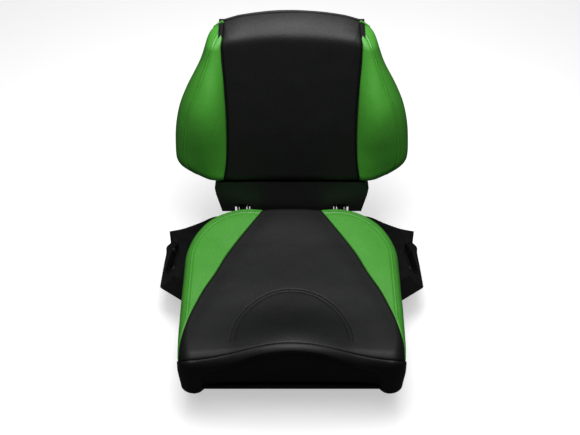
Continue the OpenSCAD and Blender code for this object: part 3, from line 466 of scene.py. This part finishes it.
seat_edge = (
    [seat_seam[0], Vector((shoulder_x, cushion_rear))]
    + arc((shoulder_x, shoulder_y), (cushion_half - shoulder_x, cushion_rear - shoulder_y), 90, 0, 60)
    + arc(corner_centre, (corner, corner), 0, corner_turn, 6))
seat_edge[-1] = seam_end
front_edge = arc(corner_centre, (corner, corner), corner_turn, -90, 14)
front_edge[0] = seam_end
front_edge += mirrored(front_edge)
front_seam = smooth_line(
    [seam_end] + flat([(236, -246), (210, -253), (130, -248), (60, -242), (0, -241)]))
front_seam += mirrored(front_seam)[1:]

dense_edge = spaced(seat_edge, shares(700))
rear_line = [Vector((x * MM, cushion_rear)) for x in range(-72, 73, 2)]
front_line = [Vector((x * MM, cushion_front)) for x in range(-208, 209, 2)]
outline_tree = nearest_tree([
    Vector((*p, 0)) for p in dense_edge + mirrored(dense_edge) + rear_line + front_edge + front_line])
front_radius = [(0, 17), (60, 20), (130, 30), (230, 32)]


def seat_top(x, y):
    """Height of the cushion's top, in metres: it rises forward, with a hump between the thighs, a
    shallow hollow where one sits, a fuller rear and rounded edges."""
    forward = (cushion_rear - y) / (cushion_rear - cushion_front)
    rise = 27 * MM * forward
    swell = ease((-70 * MM - y) / (165 * MM)) ** 1.5
    hump = 40 * MM * math.exp(-(x / (125 * MM)) ** 2) * swell
    hollow = 5 * MM * math.exp(-(x / (120 * MM)) ** 2 - ((y - 50 * MM) / (110 * MM)) ** 2)
    rear = ease((y - 90 * MM) / (100 * MM))
    front = ease((-195 * MM - y) / (45 * MM))
    radius = (24 - 7 * rear + (between(front_radius, abs(x) / MM) - 24) * front) * MM
    inside = distance_in(outline_tree, x, y)
    return cushion_back_edge + (2 + 3 * rear) * MM + rise + hump - hollow - rounding(inside, radius)


def seat_base(x, y):
    """Height of the cover's lower edge, which lifts towards the front."""
    lift = ease((cushion_front + 60 * MM - y) / (60 * MM))
    middle = 1 - ease((abs(x) - 150 * MM) / (50 * MM))
    return cushion_base + lift * (10 + 21 * middle) * MM


def wall_down(edge_point, outward, top, bottom, steps, pull_mm, tuck_mm):
    """Points down a cushion's side: out a little, in again at its foot, then tucked under."""
    points = []
    for k in range(1, steps + 1):
        t = k / steps
        belly = 0.8 * math.sin(t * math.pi) * MM - pull_mm * MM * t
        place = edge_point + outward * belly
        points.append(Vector((place.x, place.y, top + (bottom - top) * t)))
    under = edge_point - outward * (pull_mm + tuck_mm) * MM
    points.append(Vector((under.x, under.y, bottom)))
    return points


def outward_at(line, k):
    """The direction out of the outline at its point k, for an outline that runs clockwise in plan."""
    along = (line[min(k + 1, len(line) - 1)] - line[max(k - 1, 0)]).normalized()
    return Vector((-along.y, along.x))


seat_rows = shares(220, 0.4, 0.2)
seam_points = spaced(seat_seam, seat_rows)
edge_points = spaced(seat_edge, seat_rows)
front_table = sorted((p.x, p.y) for p in front_seam)

wall_steps = 14
side_rows = []
for k, (seam_point, edge_point) in enumerate(zip(seam_points, edge_points)):
    row = []
    width = (edge_point - seam_point).length
    for share in shares(40, 0.0, 0.9 * ease(width / (50 * MM))):
        p = seam_point.lerp(edge_point, share)
        row.append(Vector((p.x, p.y, seat_top(p.x, p.y))))
    row += wall_down(edge_point, outward_at(edge_points, k), row[-1].z,
                     seat_base(edge_point.x, edge_point.y), wall_steps, 6, 12)
    side_rows.append(row)

centre_rows = []
middle_columns = [2 * s - 1 for s in shares(180)]
rear_walls = []
for column in middle_columns:
    top = Vector((column * seam_points[0].x, cushion_rear))
    rear_walls.append(wall_down(
        top, Vector((0, 1)), seat_top(top.x, top.y), seat_base(top.x, top.y), wall_steps, 6, 12))
for k in range(wall_steps, -1, -1):
    centre_rows.append([wall[k] for wall in rear_walls])
for share, seam_point in zip(seat_rows, seam_points):
    row = []
    for column in middle_columns:
        x = column * seam_point.x
        y = seam_point.y + (between(front_table, column * seam_points[-1].x) - seam_end.y) * share ** 6
        row.append(Vector((x, y, seat_top(x, y))))
    centre_rows.append(row)

# The sewn lines: panel seams, the stitched border of the side panels, and the double half-round line
seam_line = [Vector((p.x, p.y, seat_top(p.x, p.y))) for p in spaced(seat_seam, shares(500))]
seam_wall = [side_rows[0][-k] for k in range(2, wall_steps + 2)]
border_points = []
for k, p in enumerate(dense_edge):
    inset = (18 + 4 * ease((p.y - 60 * MM) / (100 * MM))) * MM
    q = p - outward_at(dense_edge, k) * inset
    seam_x = min(seat_seam, key=lambda s: abs(s.y - q.y)).x
    if q.x > seam_x + 2 * MM and q.y > -190 * MM:
        border_points.append(Vector((q.x, q.y, seat_top(q.x, q.y))))
hump_lines = []
for grow in (0, 8):
    half, depth = (122 + grow) * MM, (168 + grow) * MM
    ring = arc((0, -226 * MM), (half, depth), 4, 176, 300)
    hump_lines.append([Vector((p.x, p.y, seat_top(p.x, p.y))) for p in ring if p.y > -238 * MM])
front_seam_line = [Vector((p.x, p.y, seat_top(p.x, p.y))) for p in spaced(front_seam, shares(600))]

seam_groove = Groove(seam_line + seam_wall, 1.8, 2.6, 2.6)
seam_groove_left = Groove(mirrored(seam_line + seam_wall), 1.8, 2.6, 2.6)
border_groove = Groove(border_points, 1.9, 2.4)
border_groove_left = Groove(mirrored(border_points), 1.9, 2.4)
front_groove = Groove(front_seam_line, 1.0, 2.2, 1.0)
hump_grooves = [Groove(line, 0.9, 1.8, 0.5) for line in hump_lines]
seat_heart = Vector((0, 0, cushion_base + 40 * MM))

seat_centre = sheet_object(
    "seat_centre_panel", centre_rows, black_vinyl, seat_heart,
    [seam_groove, seam_groove_left, front_groove, *hump_grooves], 0.5)
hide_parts("seat_cover_centre", "seat_foam")
seat_right = sheet_object(
    "seat_side_panel_right", side_rows, green_vinyl, seat_heart,
    [seam_groove, border_groove, front_groove], 0.6)
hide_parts("seat_cover_right")
seat_left = sheet_object(
    "seat_side_panel_left", [mirrored(row) for row in side_rows], green_vinyl, seat_heart,
    [seam_groove_left, border_groove_left, front_groove], 0.6)
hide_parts("seat_cover_left")

# The front band rolls over the edge and down round the corners; the boxing lies back under it
band_shares = shares(260)
band_top = spaced(front_seam, band_shares)
band_edge = spaced(front_edge, band_shares)
band_reach = [(0, 11), (60, 13), (90, 18), (145, 33), (170, 37)]
boxing_end = 203 * MM


def front_profile(k):
    """The front of the cushion at column k, from the seam over the rounded edge and down the wall."""
    top = band_top[k]
    edge = band_edge[k]
    points = []
    for step in range(25):
        p = top.lerp(edge, math.sin(step / 24 * math.pi / 2))
        points.append(Vector((p.x, p.y, seat_top(p.x, p.y))))
    corner_z = points[-1].z
    foot_z = seat_base(edge.x, edge.y)
    for step in range(1, 41):
        drop = (corner_z - foot_z) * step / 40
        p = edge - outward_at(band_edge, k) * ease((drop - 20 * MM) / (80 * MM)) * 5 * MM
        points.append(Vector((p.x, p.y, corner_z - drop)))
    return points


def parted(points, level):
    """A falling line of points, parted where it passes a height."""
    k = next((i for i, p in enumerate(points) if p.z <= level), len(points) - 1)
    if k == 0:
        return [points[0], points[0]], points
    above, below = points[k - 1], points[k]
    meet = above.lerp(below, (above.z - level) / max(1e-9, above.z - below.z))
    return points[:k] + [meet], [meet] + points[k:]


band_rows = []
boxing_rows = []
for k in range(len(band_top)):
    x = abs(band_edge[k].x)
    inward = -Vector((*outward_at(band_edge, k), 0))
    profile = front_profile(k)
    full = profile[0].z - profile[-1].z
    reach = between(band_reach, x / MM) * MM
    close = (x - 172 * MM) / (boxing_end - 172 * MM)
    if close > 0:
        reach += (full - reach) * (1 - math.sqrt(max(0.0, 1 - min(1.0, close) ** 2)))
    ends = ease((boxing_end - x) / (25 * MM))
    upper, lower = parted(profile, profile[0].z - reach)
    if x >= boxing_end:
        upper = profile
        lower = profile[30:]
    row = []
    for t, p in zip(shares(22), spaced(upper, shares(22))):
        row.append(p + inward * 3 * MM * ends * max(0.0, (t - 0.75) / 0.25) ** 2)
    row.append(row[-1] + inward * (12 if x >= boxing_end else 6 * ends) * MM)
    band_rows.append(row)
    if x < boxing_end + 5 * MM:
        row = []
        for p in spaced(lower, shares(24, 0.5)):
            fallen = lower[0].z - p.z
            row.append(p + inward * (1 + (2 + 10 * ease(fallen / (14 * MM))) * ends) * MM)
        boxing_rows.append(row + [row[-1] + inward * 12 * MM])

front_band = sheet_object("seat_front_band", band_rows, black_vinyl, seat_heart, [front_groove], 0.4)
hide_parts("seat_cover_front")
front_boxing = sheet_object("seat_front_boxing", boxing_rows, black_vinyl, seat_heart, (), 0.5)

for panel, slot in ((seat_centre, "black_vinyl"), (seat_right, "green_vinyl"), (seat_left, "green_vinyl"),
                    (front_band, "black_vinyl"), (front_boxing, "black_vinyl")):
    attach(panel, "seat")


# Bonded polyester thread, 1.2 mm thick, in lockstitches 5 mm long.
def thread(name, dark, light):
    """Twisted sewing thread: matt, with its twist as fine slanted bands in the bump, and the same bands
    painted lighter and darker in colour as painted shade of the plies.
    """
    material, tree, place = new_material(name)
    twist_relief_and_shade = add_node(tree, "ShaderNodeTexWave", {"Vector": place, "Scale": 900.0, "Distortion": 1.0},
                     bands_direction="DIAGONAL")
    # Painted shade: the colour goes from dark to light along the twist bands.
    colour = add_node(tree, "ShaderNodeMix", {
        "Factor": twist_relief_and_shade.outputs["Fac"], "A": linear(dark), "B": linear(light)}, data_type="RGBA")
    set_surface(tree, add_node(tree, "ShaderNodeBsdfPrincipled", {
        "Base Color": colour.outputs["Result"], "Roughness": 0.85, "IOR": 1.4,
        "Normal": bumped(tree, twist_relief_and_shade.outputs["Fac"], 0.1)}))
    return material


black_thread = thread("black_polyester_thread", "#040405", "#0a0a0b")
green_thread = thread("green_polyester_thread", "#1c5a14", "#2a7320")


def surface_of(*pieces):
    """A search tree of the pieces' surfaces, for laying stitches on them."""
    points = []
    faces = []
    for piece in pieces:
        start = len(points)
        points += [v.co.copy() for v in piece.data.vertices]
        faces += [[start + i for i in f.vertices] for f in piece.data.polygons]
    return BVHTree.FromPolygons(points, faces)


def stitch_object(name, lines, surface, material, body, pitch_mm=6.0, long_mm=4.8, thick_mm=1.2):
    """Rows of lockstitches laid on a surface: each is a short thread that dives in at both ends."""
    shape = bmesh.new()
    rings, sides = 5, 6
    for line in lines:
        length = sum((b - a).length for a, b in zip(line, line[1:]))
        count = max(2, round(length / (pitch_mm * MM)))
        for start in range(count):
            middle_share = (start + 0.5) / count
            half_share = 0.5 * long_mm * MM / length
            a, b = spaced(line, [middle_share - half_share, middle_share + half_share])
            a, normal_a = surface.find_nearest(a)[:2]
            b, normal_b = surface.find_nearest(b)[:2]
            up = (normal_a + normal_b).normalized()
            along = (b - a).normalized()
            side = along.cross(up).normalized()
            loop = []
            for r in range(rings):
                t = r / (rings - 1)
                lift = (math.sin(t * math.pi) * 0.9 - 0.35) * thick_mm * MM
                radius = 0.5 * thick_mm * MM * (0.55 + 0.45 * math.sin(t * math.pi))
                centre = a.lerp(b, t) + up * lift
                loop.append([shape.verts.new(
                    centre + radius * (math.cos(w) * side + math.sin(w) * up))
                    for w in (2 * math.pi * s / sides for s in range(sides))])
            for first, second in zip(loop, loop[1:]):
                for s in range(sides):
                    shape.faces.new((first[s], first[(s + 1) % sides], second[(s + 1) % sides], second[s]))
            shape.faces.new(loop[0][::-1])
            shape.faces.new(loop[-1])
    bmesh.ops.recalc_face_normals(shape, faces=shape.faces)
    for face in shape.faces:
        face.smooth = True
    mesh = bpy.data.meshes.new(name)
    shape.to_mesh(mesh)
    shape.free()
    mesh.materials.append(material)
    piece = bpy.data.objects.new(name, mesh)
    scene.collection.objects.link(piece)
    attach(piece, body)
    return piece


def shifted(line, inward_mm):
    """The same line, moved sideways in plan."""
    moved = []
    for k, p in enumerate(line):
        along = line[min(k + 1, len(line) - 1)] - line[max(k - 1, 0)]
        side = Vector((along.y, -along.x, 0)).normalized()
        moved.append(p + side * inward_mm * MM)
    return moved


seat_surface = surface_of(seat_centre, seat_right, seat_left)
border_stitch_mm = 3.4
for side, line in (("right", border_points), ("left", mirrored(border_points))):
    stitch_object(f"seat_border_stitches_{side}", [shifted(line, -border_stitch_mm)], seat_surface,
                  green_thread, "seat", thick_mm=1.5)
stitch_object("seat_hump_stitches", hump_lines, seat_surface, black_thread, "seat",
              thick_mm=1.5)


# ---------- Side wings ----------
# Two glossy black ABS mouldings beside the cushion, each with a finger pocket in its slanted mouth.
# They are screwed up under the pan and keep the shape of the design.

# Moulded gloss ABS: a deep black that mirrors the room softly, with faint sink and fine scratches.
gloss_black, tree, place = new_material("gloss_moulded_abs")
sink = add_node(tree, "ShaderNodeTexNoise", {"Vector": place, "Scale": 28.0, "Detail": 1.0})
haze = add_node(tree, "ShaderNodeTexNoise", {"Vector": place, "Scale": 60.0, "Detail": 5.0})
scratch = add_node(tree, "ShaderNodeMapping", {
    "Vector": place, "Rotation": (0.3, 0.5, 0.9), "Scale": (1400, 30, 30)})
scratches = add_node(tree, "ShaderNodeTexNoise", {
    "Vector": scratch.outputs["Vector"], "Scale": 1.0, "Detail": 2.0})
rough = add_node(tree, "ShaderNodeMapRange", {"Value": haze.outputs["Fac"], "To Min": 0.14, "To Max": 0.3})
colour = add_node(tree, "ShaderNodeMix", {
    "Factor": scratches.outputs["Fac"], "A": linear("#070708"), "B": linear("#0f0f11")}, data_type="RGBA")
set_surface(tree, add_node(tree, "ShaderNodeBsdfPrincipled", {
    "Base Color": colour.outputs["Result"], "Roughness": rough.outputs["Result"], "IOR": 1.54,
    "Normal": bumped(tree, sink.outputs["Fac"], 0.5)}))
finish_nodes(gloss_black, ["side_wing_left", "side_wing_right"], 1.6)


# ---------- Folding hinge ----------
# U brackets of powder-coated plate bolted on the cross tube, shoulder bolts with nuts and washers,
# and rubber buttons that the backrest's arms rest on.

finish_nodes(powder_coat, ["hinge_bracket_left", "hinge_bracket_right"], 0.6)
finish_nodes(
    zinc, ["bracket_bolts", "pivot_bolt_left", "pivot_bolt_right", "pivot_nuts", "pivot_washers"], 0.2)

# Moulded rubber: dull black with a bloom of grey dust.
rubber, tree, place = new_material("moulded_rubber")
bloom = add_node(tree, "ShaderNodeTexNoise", {"Vector": place, "Scale": 150.0, "Detail": 4.0})
colour = add_node(tree, "ShaderNodeMix", {
    "Factor": bloom.outputs["Fac"], "A": linear("#111112"), "B": linear("#1d1d1e")}, data_type="RGBA")
set_surface(tree, add_node(tree, "ShaderNodeBsdfPrincipled", {
    "Base Color": colour.outputs["Result"], "Roughness": 0.8, "IOR": 1.52,
    "Normal": bumped(tree, bloom.outputs["Fac"], 0.08)}))
finish_nodes(rubber, ["backrest_stops"], 0.4)


# ---------- Seat switch ----------
# The operator-presence switch in the pan: a cream nylon body, a red plunger on a wire spring, and
# two tinned brass blades.

def moulded(name, dark, light, roughness):
    """Moulded nylon: even colour with slight flow marks and a satin skin."""
    material, tree, place = new_material(name)
    flow = add_node(tree, "ShaderNodeTexNoise", {"Vector": place, "Scale": 120.0, "Detail": 3.0})
    colour = add_node(tree, "ShaderNodeMix", {
        "Factor": flow.outputs["Fac"], "A": linear(dark), "B": linear(light)}, data_type="RGBA")
    set_surface(tree, add_node(tree, "ShaderNodeBsdfPrincipled", {
        "Base Color": colour.outputs["Result"], "Roughness": roughness, "IOR": 1.53,
        "Normal": bumped(tree, flow.outputs["Fac"], 0.04)}))
    return material


finish_nodes(moulded("cream_nylon", "#dcd6c4", "#e9e4d4", 0.4), ["switch_body"], 0.4)
finish_nodes(moulded("red_nylon", "#a52f22", "#b93d2e", 0.4), ["switch_plunger"], 0.3)
brass, tree, place = new_material("tinned_brass")
tarnish = add_node(tree, "ShaderNodeTexNoise", {"Vector": place, "Scale": 300.0, "Detail": 4.0})
colour = add_node(tree, "ShaderNodeMix", {
    "Factor": tarnish.outputs["Fac"], "A": linear("#b08f3e"), "B": linear("#d3b562")}, data_type="RGBA")
set_surface(tree, add_node(tree, "ShaderNodeBsdfPrincipled", {
    "Base Color": colour.outputs["Result"], "Metallic": 1.0, "Roughness": 0.32,
    "Normal": bumped(tree, tarnish.outputs["Fac"], 0.03)}))
finish_nodes(brass, ["switch_terminals"], 0.1)

# Drawn spring wire: bright grey metal with drawing lines too fine to see, so only a soft sheen.
wire, tree, place = new_material("drawn_spring_wire")
draw = add_node(tree, "ShaderNodeTexNoise", {"Vector": place, "Scale": 700.0, "Detail": 2.0})
rough = add_node(tree, "ShaderNodeMapRange", {"Value": draw.outputs["Fac"], "To Min": 0.22, "To Max": 0.36})
colour = add_node(tree, "ShaderNodeMix", {
    "Factor": draw.outputs["Fac"], "A": linear("#8d9094"), "B": linear("#b4b7bb")}, data_type="RGBA")
set_surface(tree, add_node(tree, "ShaderNodeBsdfPrincipled", {
    "Base Color": colour.outputs["Result"], "Metallic": 1.0, "Roughness": rough.outputs["Result"],
    "Normal": bumped(tree, draw.outputs["Fac"], 0.02)}))
for name in ("switch_spring", "latch_spring_left", "latch_spring_right"):
    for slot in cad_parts[name].material_slots:
        slot.material = wire


# ---------- Adjuster bar and latch ----------
# A bent round bar under the front of the pan that turns in two hangers; its plastic grip is pushed
# over the bar, and two pawls of zinc-plated plate drop into the slots of the lower rails.

finish_nodes(powder_coat, ["adjuster_bar"], 0.2)
finish_nodes(powder_coat, ["latch_hangers"], 0.5)
finish_nodes(zinc, ["hanger_bolts", "latch_pawl_left", "latch_pawl_right"], 0.25)

# Ribbed grip sleeve: soft-touch black plastic, nearly matt, its colour painted darker and lighter along the
# ribs as painted shade.
grip_plastic, tree, place = new_material("soft_grip_plastic")
ribs_relief_and_shade = add_node(tree, "ShaderNodeTexWave", {"Vector": place, "Scale": 50.0}, bands_direction="X")
# Painted shade: the colour follows the ribs from dark to light.
colour = add_node(tree, "ShaderNodeMix", {
    "Factor": ribs_relief_and_shade.outputs["Fac"], "A": linear("#0d0d0e"), "B": linear("#19191b")}, data_type="RGBA")
set_surface(tree, add_node(tree, "ShaderNodeBsdfPrincipled", {
    "Base Color": colour.outputs["Result"], "Roughness": 0.62, "IOR": 1.5,
    "Normal": bumped(tree, ribs_relief_and_shade.outputs["Fac"], 0.4)}))
finish_nodes(grip_plastic, ["adjuster_grip"], 0.8)


# ---------- Backrest frame and board ----------
# Two bent steel arms welded to cross bars, with acetal bushes at the pivots, carry a birch plywood
# board that the pad is stapled to.

finish_nodes(powder_coat, ["backrest_frame"], 0.6)
finish_nodes(acetal, ["pivot_bush_left", "pivot_bush_right"], 0.2)
finish_nodes(zinc, ["board_screws"], 0.2)

# Sanded birch plywood: pale straw wood with long even grain, about 3 mm from line to line.
plywood, tree, place = new_material("sanded_birch_plywood")
stretch = add_node(tree, "ShaderNodeMapping", {"Vector": place, "Scale": (320, 14, 14)})
grain = add_node(tree, "ShaderNodeTexNoise", {
    "Vector": stretch.outputs["Vector"], "Scale": 1.0, "Detail": 5.0, "Distortion": 0.4})
colour = add_node(tree, "ShaderNodeMix", {
    "Factor": grain.outputs["Fac"], "A": linear("#a3845a"), "B": linear("#cdb083")}, data_type="RGBA")
set_surface(tree, add_node(tree, "ShaderNodeBsdfPrincipled", {
    "Base Color": colour.outputs["Result"], "Roughness": 0.6, "IOR": 1.5,
    "Normal": bumped(tree, grain.outputs["Fac"], 0.1)}))
finish_nodes(plywood, ["backrest_board"], 0.4)


# ---------- Backrest shell ----------
# The moulded tray behind the pad, with its flared skirt below: black ABS with a fine even texture,
# held on by six black screws.

shell_plastic, tree, place = new_material("textured_moulded_abs")
grit = add_node(tree, "ShaderNodeTexNoise", {"Vector": place, "Scale": 700.0, "Detail": 3.0})
drift = add_node(tree, "ShaderNodeTexNoise", {"Vector": place, "Scale": 18.0, "Detail": 3.0})
colour = add_node(tree, "ShaderNodeMix", {
    "Factor": drift.outputs["Fac"], "A": linear("#0b0b0c"), "B": linear("#131314")}, data_type="RGBA")
rough = add_node(tree, "ShaderNodeMapRange", {"Value": drift.outputs["Fac"], "To Min": 0.4, "To Max": 0.52})
set_surface(tree, add_node(tree, "ShaderNodeBsdfPrincipled", {
    "Base Color": colour.outputs["Result"], "Roughness": rough.outputs["Result"], "IOR": 1.54,
    "Normal": bumped(tree, grit.outputs["Fac"], 0.1)}))
finish_nodes(shell_plastic, ["backrest_shell"], 1.5)

# Black oxide on steel screws: near black, slightly oily.
black_oxide, tree, place = new_material("black_oxide_steel")
oil = add_node(tree, "ShaderNodeTexNoise", {"Vector": place, "Scale": 250.0, "Detail": 3.0})
colour = add_node(tree, "ShaderNodeMix", {
    "Factor": oil.outputs["Fac"], "A": linear("#1b1c1e"), "B": linear("#333437")}, data_type="RGBA")
set_surface(tree, add_node(tree, "ShaderNodeBsdfPrincipled", {
    "Base Color": colour.outputs["Result"], "Metallic": 0.8, "Roughness": 0.4,
    "Normal": bumped(tree, oil.outputs["Fac"], 0.03)}))
finish_nodes(black_oxide, ["shell_screws"], 0.2)


# ---------- Backrest pad ----------
# Foam on the board in a sewn cover: a black centre panel that rolls over the top, and two green
# bolsters that stand forward, fullest low down. A stitched border follows their outer edge.

back_lean = math.radians(14)
back_place = Matrix.Translation((0, cushion_rear + 12 * MM, cushion_back_edge)) @ Matrix.Rotation(
    -back_lean, 4, "X")
pad_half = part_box("backrest_cover_right")[1].x
pad_low = 58 * MM
pad_top = 468 * MM
pad_rear = 40 * MM
pad_ends = (Vector((159, 58)) * MM, Vector((153, 449)) * MM)

pad_seam = smooth_line([pad_ends[0]] + flat([
    (150, 120), (146, 210), (148, 290), (154, 400)]) + [pad_ends[1]])
pad_edge = smooth_line([pad_ends[0]] + flat([
    (200, 63), (260, 100), (271, 150), (256, 252), (205, 360), (182, 422)]) + [pad_ends[1]])
dense_pad_edge = spaced(pad_edge, shares(600))


def pad_roof(x):
    """Height of the pad's top edge."""
    return pad_ends[1].y + (pad_top - pad_ends[1].y) * (1 - (x / pad_ends[1].x) ** 2)


def pad_foot(x):
    """Height of the pad's bottom edge."""
    return pad_ends[0].y - (pad_ends[0].y - pad_low) * (1 - (x / pad_ends[0].x) ** 2)


roof_line = [Vector((x * MM, pad_roof(x * MM))) for x in range(-154, 155, 2)]
foot_line = [Vector((x * MM, pad_foot(x * MM))) for x in range(-158, 159, 2)]
pad_tree = nearest_tree([
    Vector((*p, 0)) for p in dense_pad_edge + mirrored(dense_pad_edge) + roof_line + foot_line])
bolster_peak = 245 * MM


def pad_front(x, h, bolster):
    """How far forward the pad's face stands of the backrest's own plane; bolster is 0 at the seam and
    1 at the outer edge."""
    inside = distance_in(pad_tree, x, h)
    upper = ease((h - 395 * MM) / (45 * MM))
    edge = (1 - upper) * rounding(inside, 24 * MM) + upper * 46 * MM * max(0.0, 1 - inside / (62 * MM)) ** 2.4
    middle = 4 + 3 * math.exp(-((h - 190 * MM) / (90 * MM)) ** 2) * (1 - (x / pad_half) ** 2)
    swell = math.exp(-((h - bolster_peak) / ((125 if h < bolster_peak else 105) * MM)) ** 2)
    bulge = 36 * math.sin(math.pi * bolster ** 0.85) ** 0.9 * swell if bolster > 0 else 0
    side = 4 * ease((abs(x) - 90 * MM) / (60 * MM))
    return (middle + side + bulge) * MM - edge


def on_back(x, h, forward):
    """A point of the backrest from its place across, up along and forward of its plane."""
    return back_place @ Vector((x, -forward, h))


def back_wall(edge_point, outward, front, steps, tuck_mm):
    """Points from the rounded edge to the back of the pad, then tucked in behind it."""
    points = []
    for k in range(1, steps + 1):
        t = k / steps
        place = edge_point + outward * (1.5 * math.sin(t * math.pi) - 1.5 * t) * MM
        points.append(on_back(place.x, place.y, front + (-pad_rear - front) * t))
    under = edge_point - outward * (1.5 + tuck_mm) * MM
    points.append(on_back(under.x, under.y, -pad_rear))
    return points


pad_rows = shares(170, 0.45, 0.45)
pad_seam_points = spaced(pad_seam, pad_rows)
pad_edge_points = spaced(pad_edge, pad_rows)
back_steps = 8
bolster_rows = []
for k, (seam_point, edge_point) in enumerate(zip(pad_seam_points, pad_edge_points)):
    row = []
    width = (edge_point - seam_point).length
    for share in shares(46, 0.15, 0.75 * ease(width / (50 * MM))):
        p = seam_point.lerp(edge_point, share)
        reach = share * ease(width / (40 * MM))
        row.append(on_back(p.x, p.y, pad_front(p.x, p.y, reach)))
    outward = -outward_at(pad_edge_points, k)
    row += back_wall(edge_point, outward, pad_front(edge_point.x, edge_point.y, 1.0), back_steps, 12)
    bolster_rows.append(row)

pad_columns = [2 * s - 1 for s in shares(110)]
pad_centre_rows = []
for share, seam_point in zip(pad_rows, pad_seam_points):
    row = []
    for column in pad_columns:
        x = column * seam_point.x
        lift = (pad_roof(column * pad_ends[1].x) - pad_ends[1].y) * share ** 2
        drop = (pad_foot(column * pad_ends[0].x) - pad_ends[0].y) * (1 - share) ** 2
        h = seam_point.y + lift + drop
        row.append(on_back(x, h, pad_front(x, h, 0)))
    pad_centre_rows.append(row)
for end, height, outward in ((0, pad_foot, Vector((0, -1))), (1, pad_roof, Vector((0, 1)))):
    walls = []
    for column in pad_columns:
        edge_point = Vector((column * pad_ends[end].x, height(column * pad_ends[end].x)))
        walls.append(back_wall(edge_point, outward, pad_front(edge_point.x, edge_point.y, 0), back_steps, 12))
    for k in range(back_steps + 1):
        row = [wall[k] for wall in walls]
        pad_centre_rows.insert(len(pad_centre_rows) if end else 0, row)

pad_seam_line = [on_back(p.x, p.y, pad_front(p.x, p.y, 0)) for p in spaced(pad_seam, shares(400))]
pad_seam_walls = [row[-k] for row in (bolster_rows[0], bolster_rows[-1]) for k in range(2, back_steps + 2)]
pad_border = smooth_line(flat([
    (156, 436), (170, 415), (182, 384), (208, 314), (236, 240), (246, 150), (240, 102), (221, 79)]))
# The border line is laid from behind on a trial bolster that has no grooves, which is then removed
pad_heart = on_back(0, (pad_low + pad_top) / 2, -30 * MM)
trial = sheet_object("pad_trial", bolster_rows, green_vinyl, pad_heart, thickness_mm=0)
pad_shape = surface_of(trial)
bpy.data.objects.remove(trial)
pad_border_line = []
for p in spaced(pad_border, shares(420)):
    start = on_back(p.x, p.y, 0.2)
    ahead = on_back(p.x, p.y, -0.1) - start
    hit = pad_shape.ray_cast(start, ahead.normalized())[0]
    if hit is not None:
        pad_border_line.append(hit)

pad_seam_groove = Groove(pad_seam_line + pad_seam_walls, 1.6, 2.6, 2.4)
pad_seam_groove_left = Groove(mirrored(pad_seam_line + pad_seam_walls), 1.6, 2.6, 2.4)
pad_border_groove = Groove(pad_border_line, 2.0, 2.0, 1.0)
pad_border_groove_left = Groove(mirrored(pad_border_line), 2.0, 2.0, 1.0)

pad_centre = sheet_object("backrest_centre_panel", pad_centre_rows, black_vinyl, pad_heart,
                          [pad_seam_groove, pad_seam_groove_left], 0.6)
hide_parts("backrest_cover_centre", "backrest_foam")
bolster_right = sheet_object("backrest_bolster_right", bolster_rows, green_vinyl, pad_heart,
                             [pad_seam_groove, pad_border_groove], 0.7)
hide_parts("backrest_cover_right")
bolster_left = sheet_object(
    "backrest_bolster_left", [mirrored(row) for row in bolster_rows], green_vinyl, pad_heart,
    [pad_seam_groove_left, pad_border_groove_left], 0.7)
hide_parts("backrest_cover_left")
for panel, slot in ((pad_centre, "black_vinyl"), (bolster_right, "green_vinyl"),
                    (bolster_left, "green_vinyl")):
    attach(panel, "backrest")

# Black polyester tape, 16 mm wide, sewn behind each seam to take its pull
for side, line in (("right", pad_seam_points), ("left", mirrored(pad_seam_points))):
    tape = sheet_object(f"backrest_seam_tape_{side}", [
        [on_back(p.x + across * MM, p.y, pad_front(p.x, p.y, 0) - 6.2 * MM) for across in (-8, 0, 8)]
        for p in line], black_thread, pad_heart, thickness_mm=0.6)
    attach(tape, "backrest")


def back_shifted(line, outward_mm):
    """The same line, moved sideways in the backrest's plane."""
    facing = back_place.to_3x3() @ Vector((0, -1, 0))
    moved = []
    for k, p in enumerate(line):
        along = line[min(k + 1, len(line) - 1)] - line[max(k - 1, 0)]
        moved.append(p + along.cross(facing).normalized() * outward_mm * MM)
    return moved


pad_surface = surface_of(pad_centre, bolster_right, bolster_left)
pad_stitch_mm = 3.6
for side, line in (("right", pad_border_line), ("left", mirrored(pad_border_line))):
    stitch_object(f"backrest_border_stitches_{side}", [back_shifted(line, -pad_stitch_mm)], pad_surface,
                  green_thread, "backrest", thick_mm=1.5)
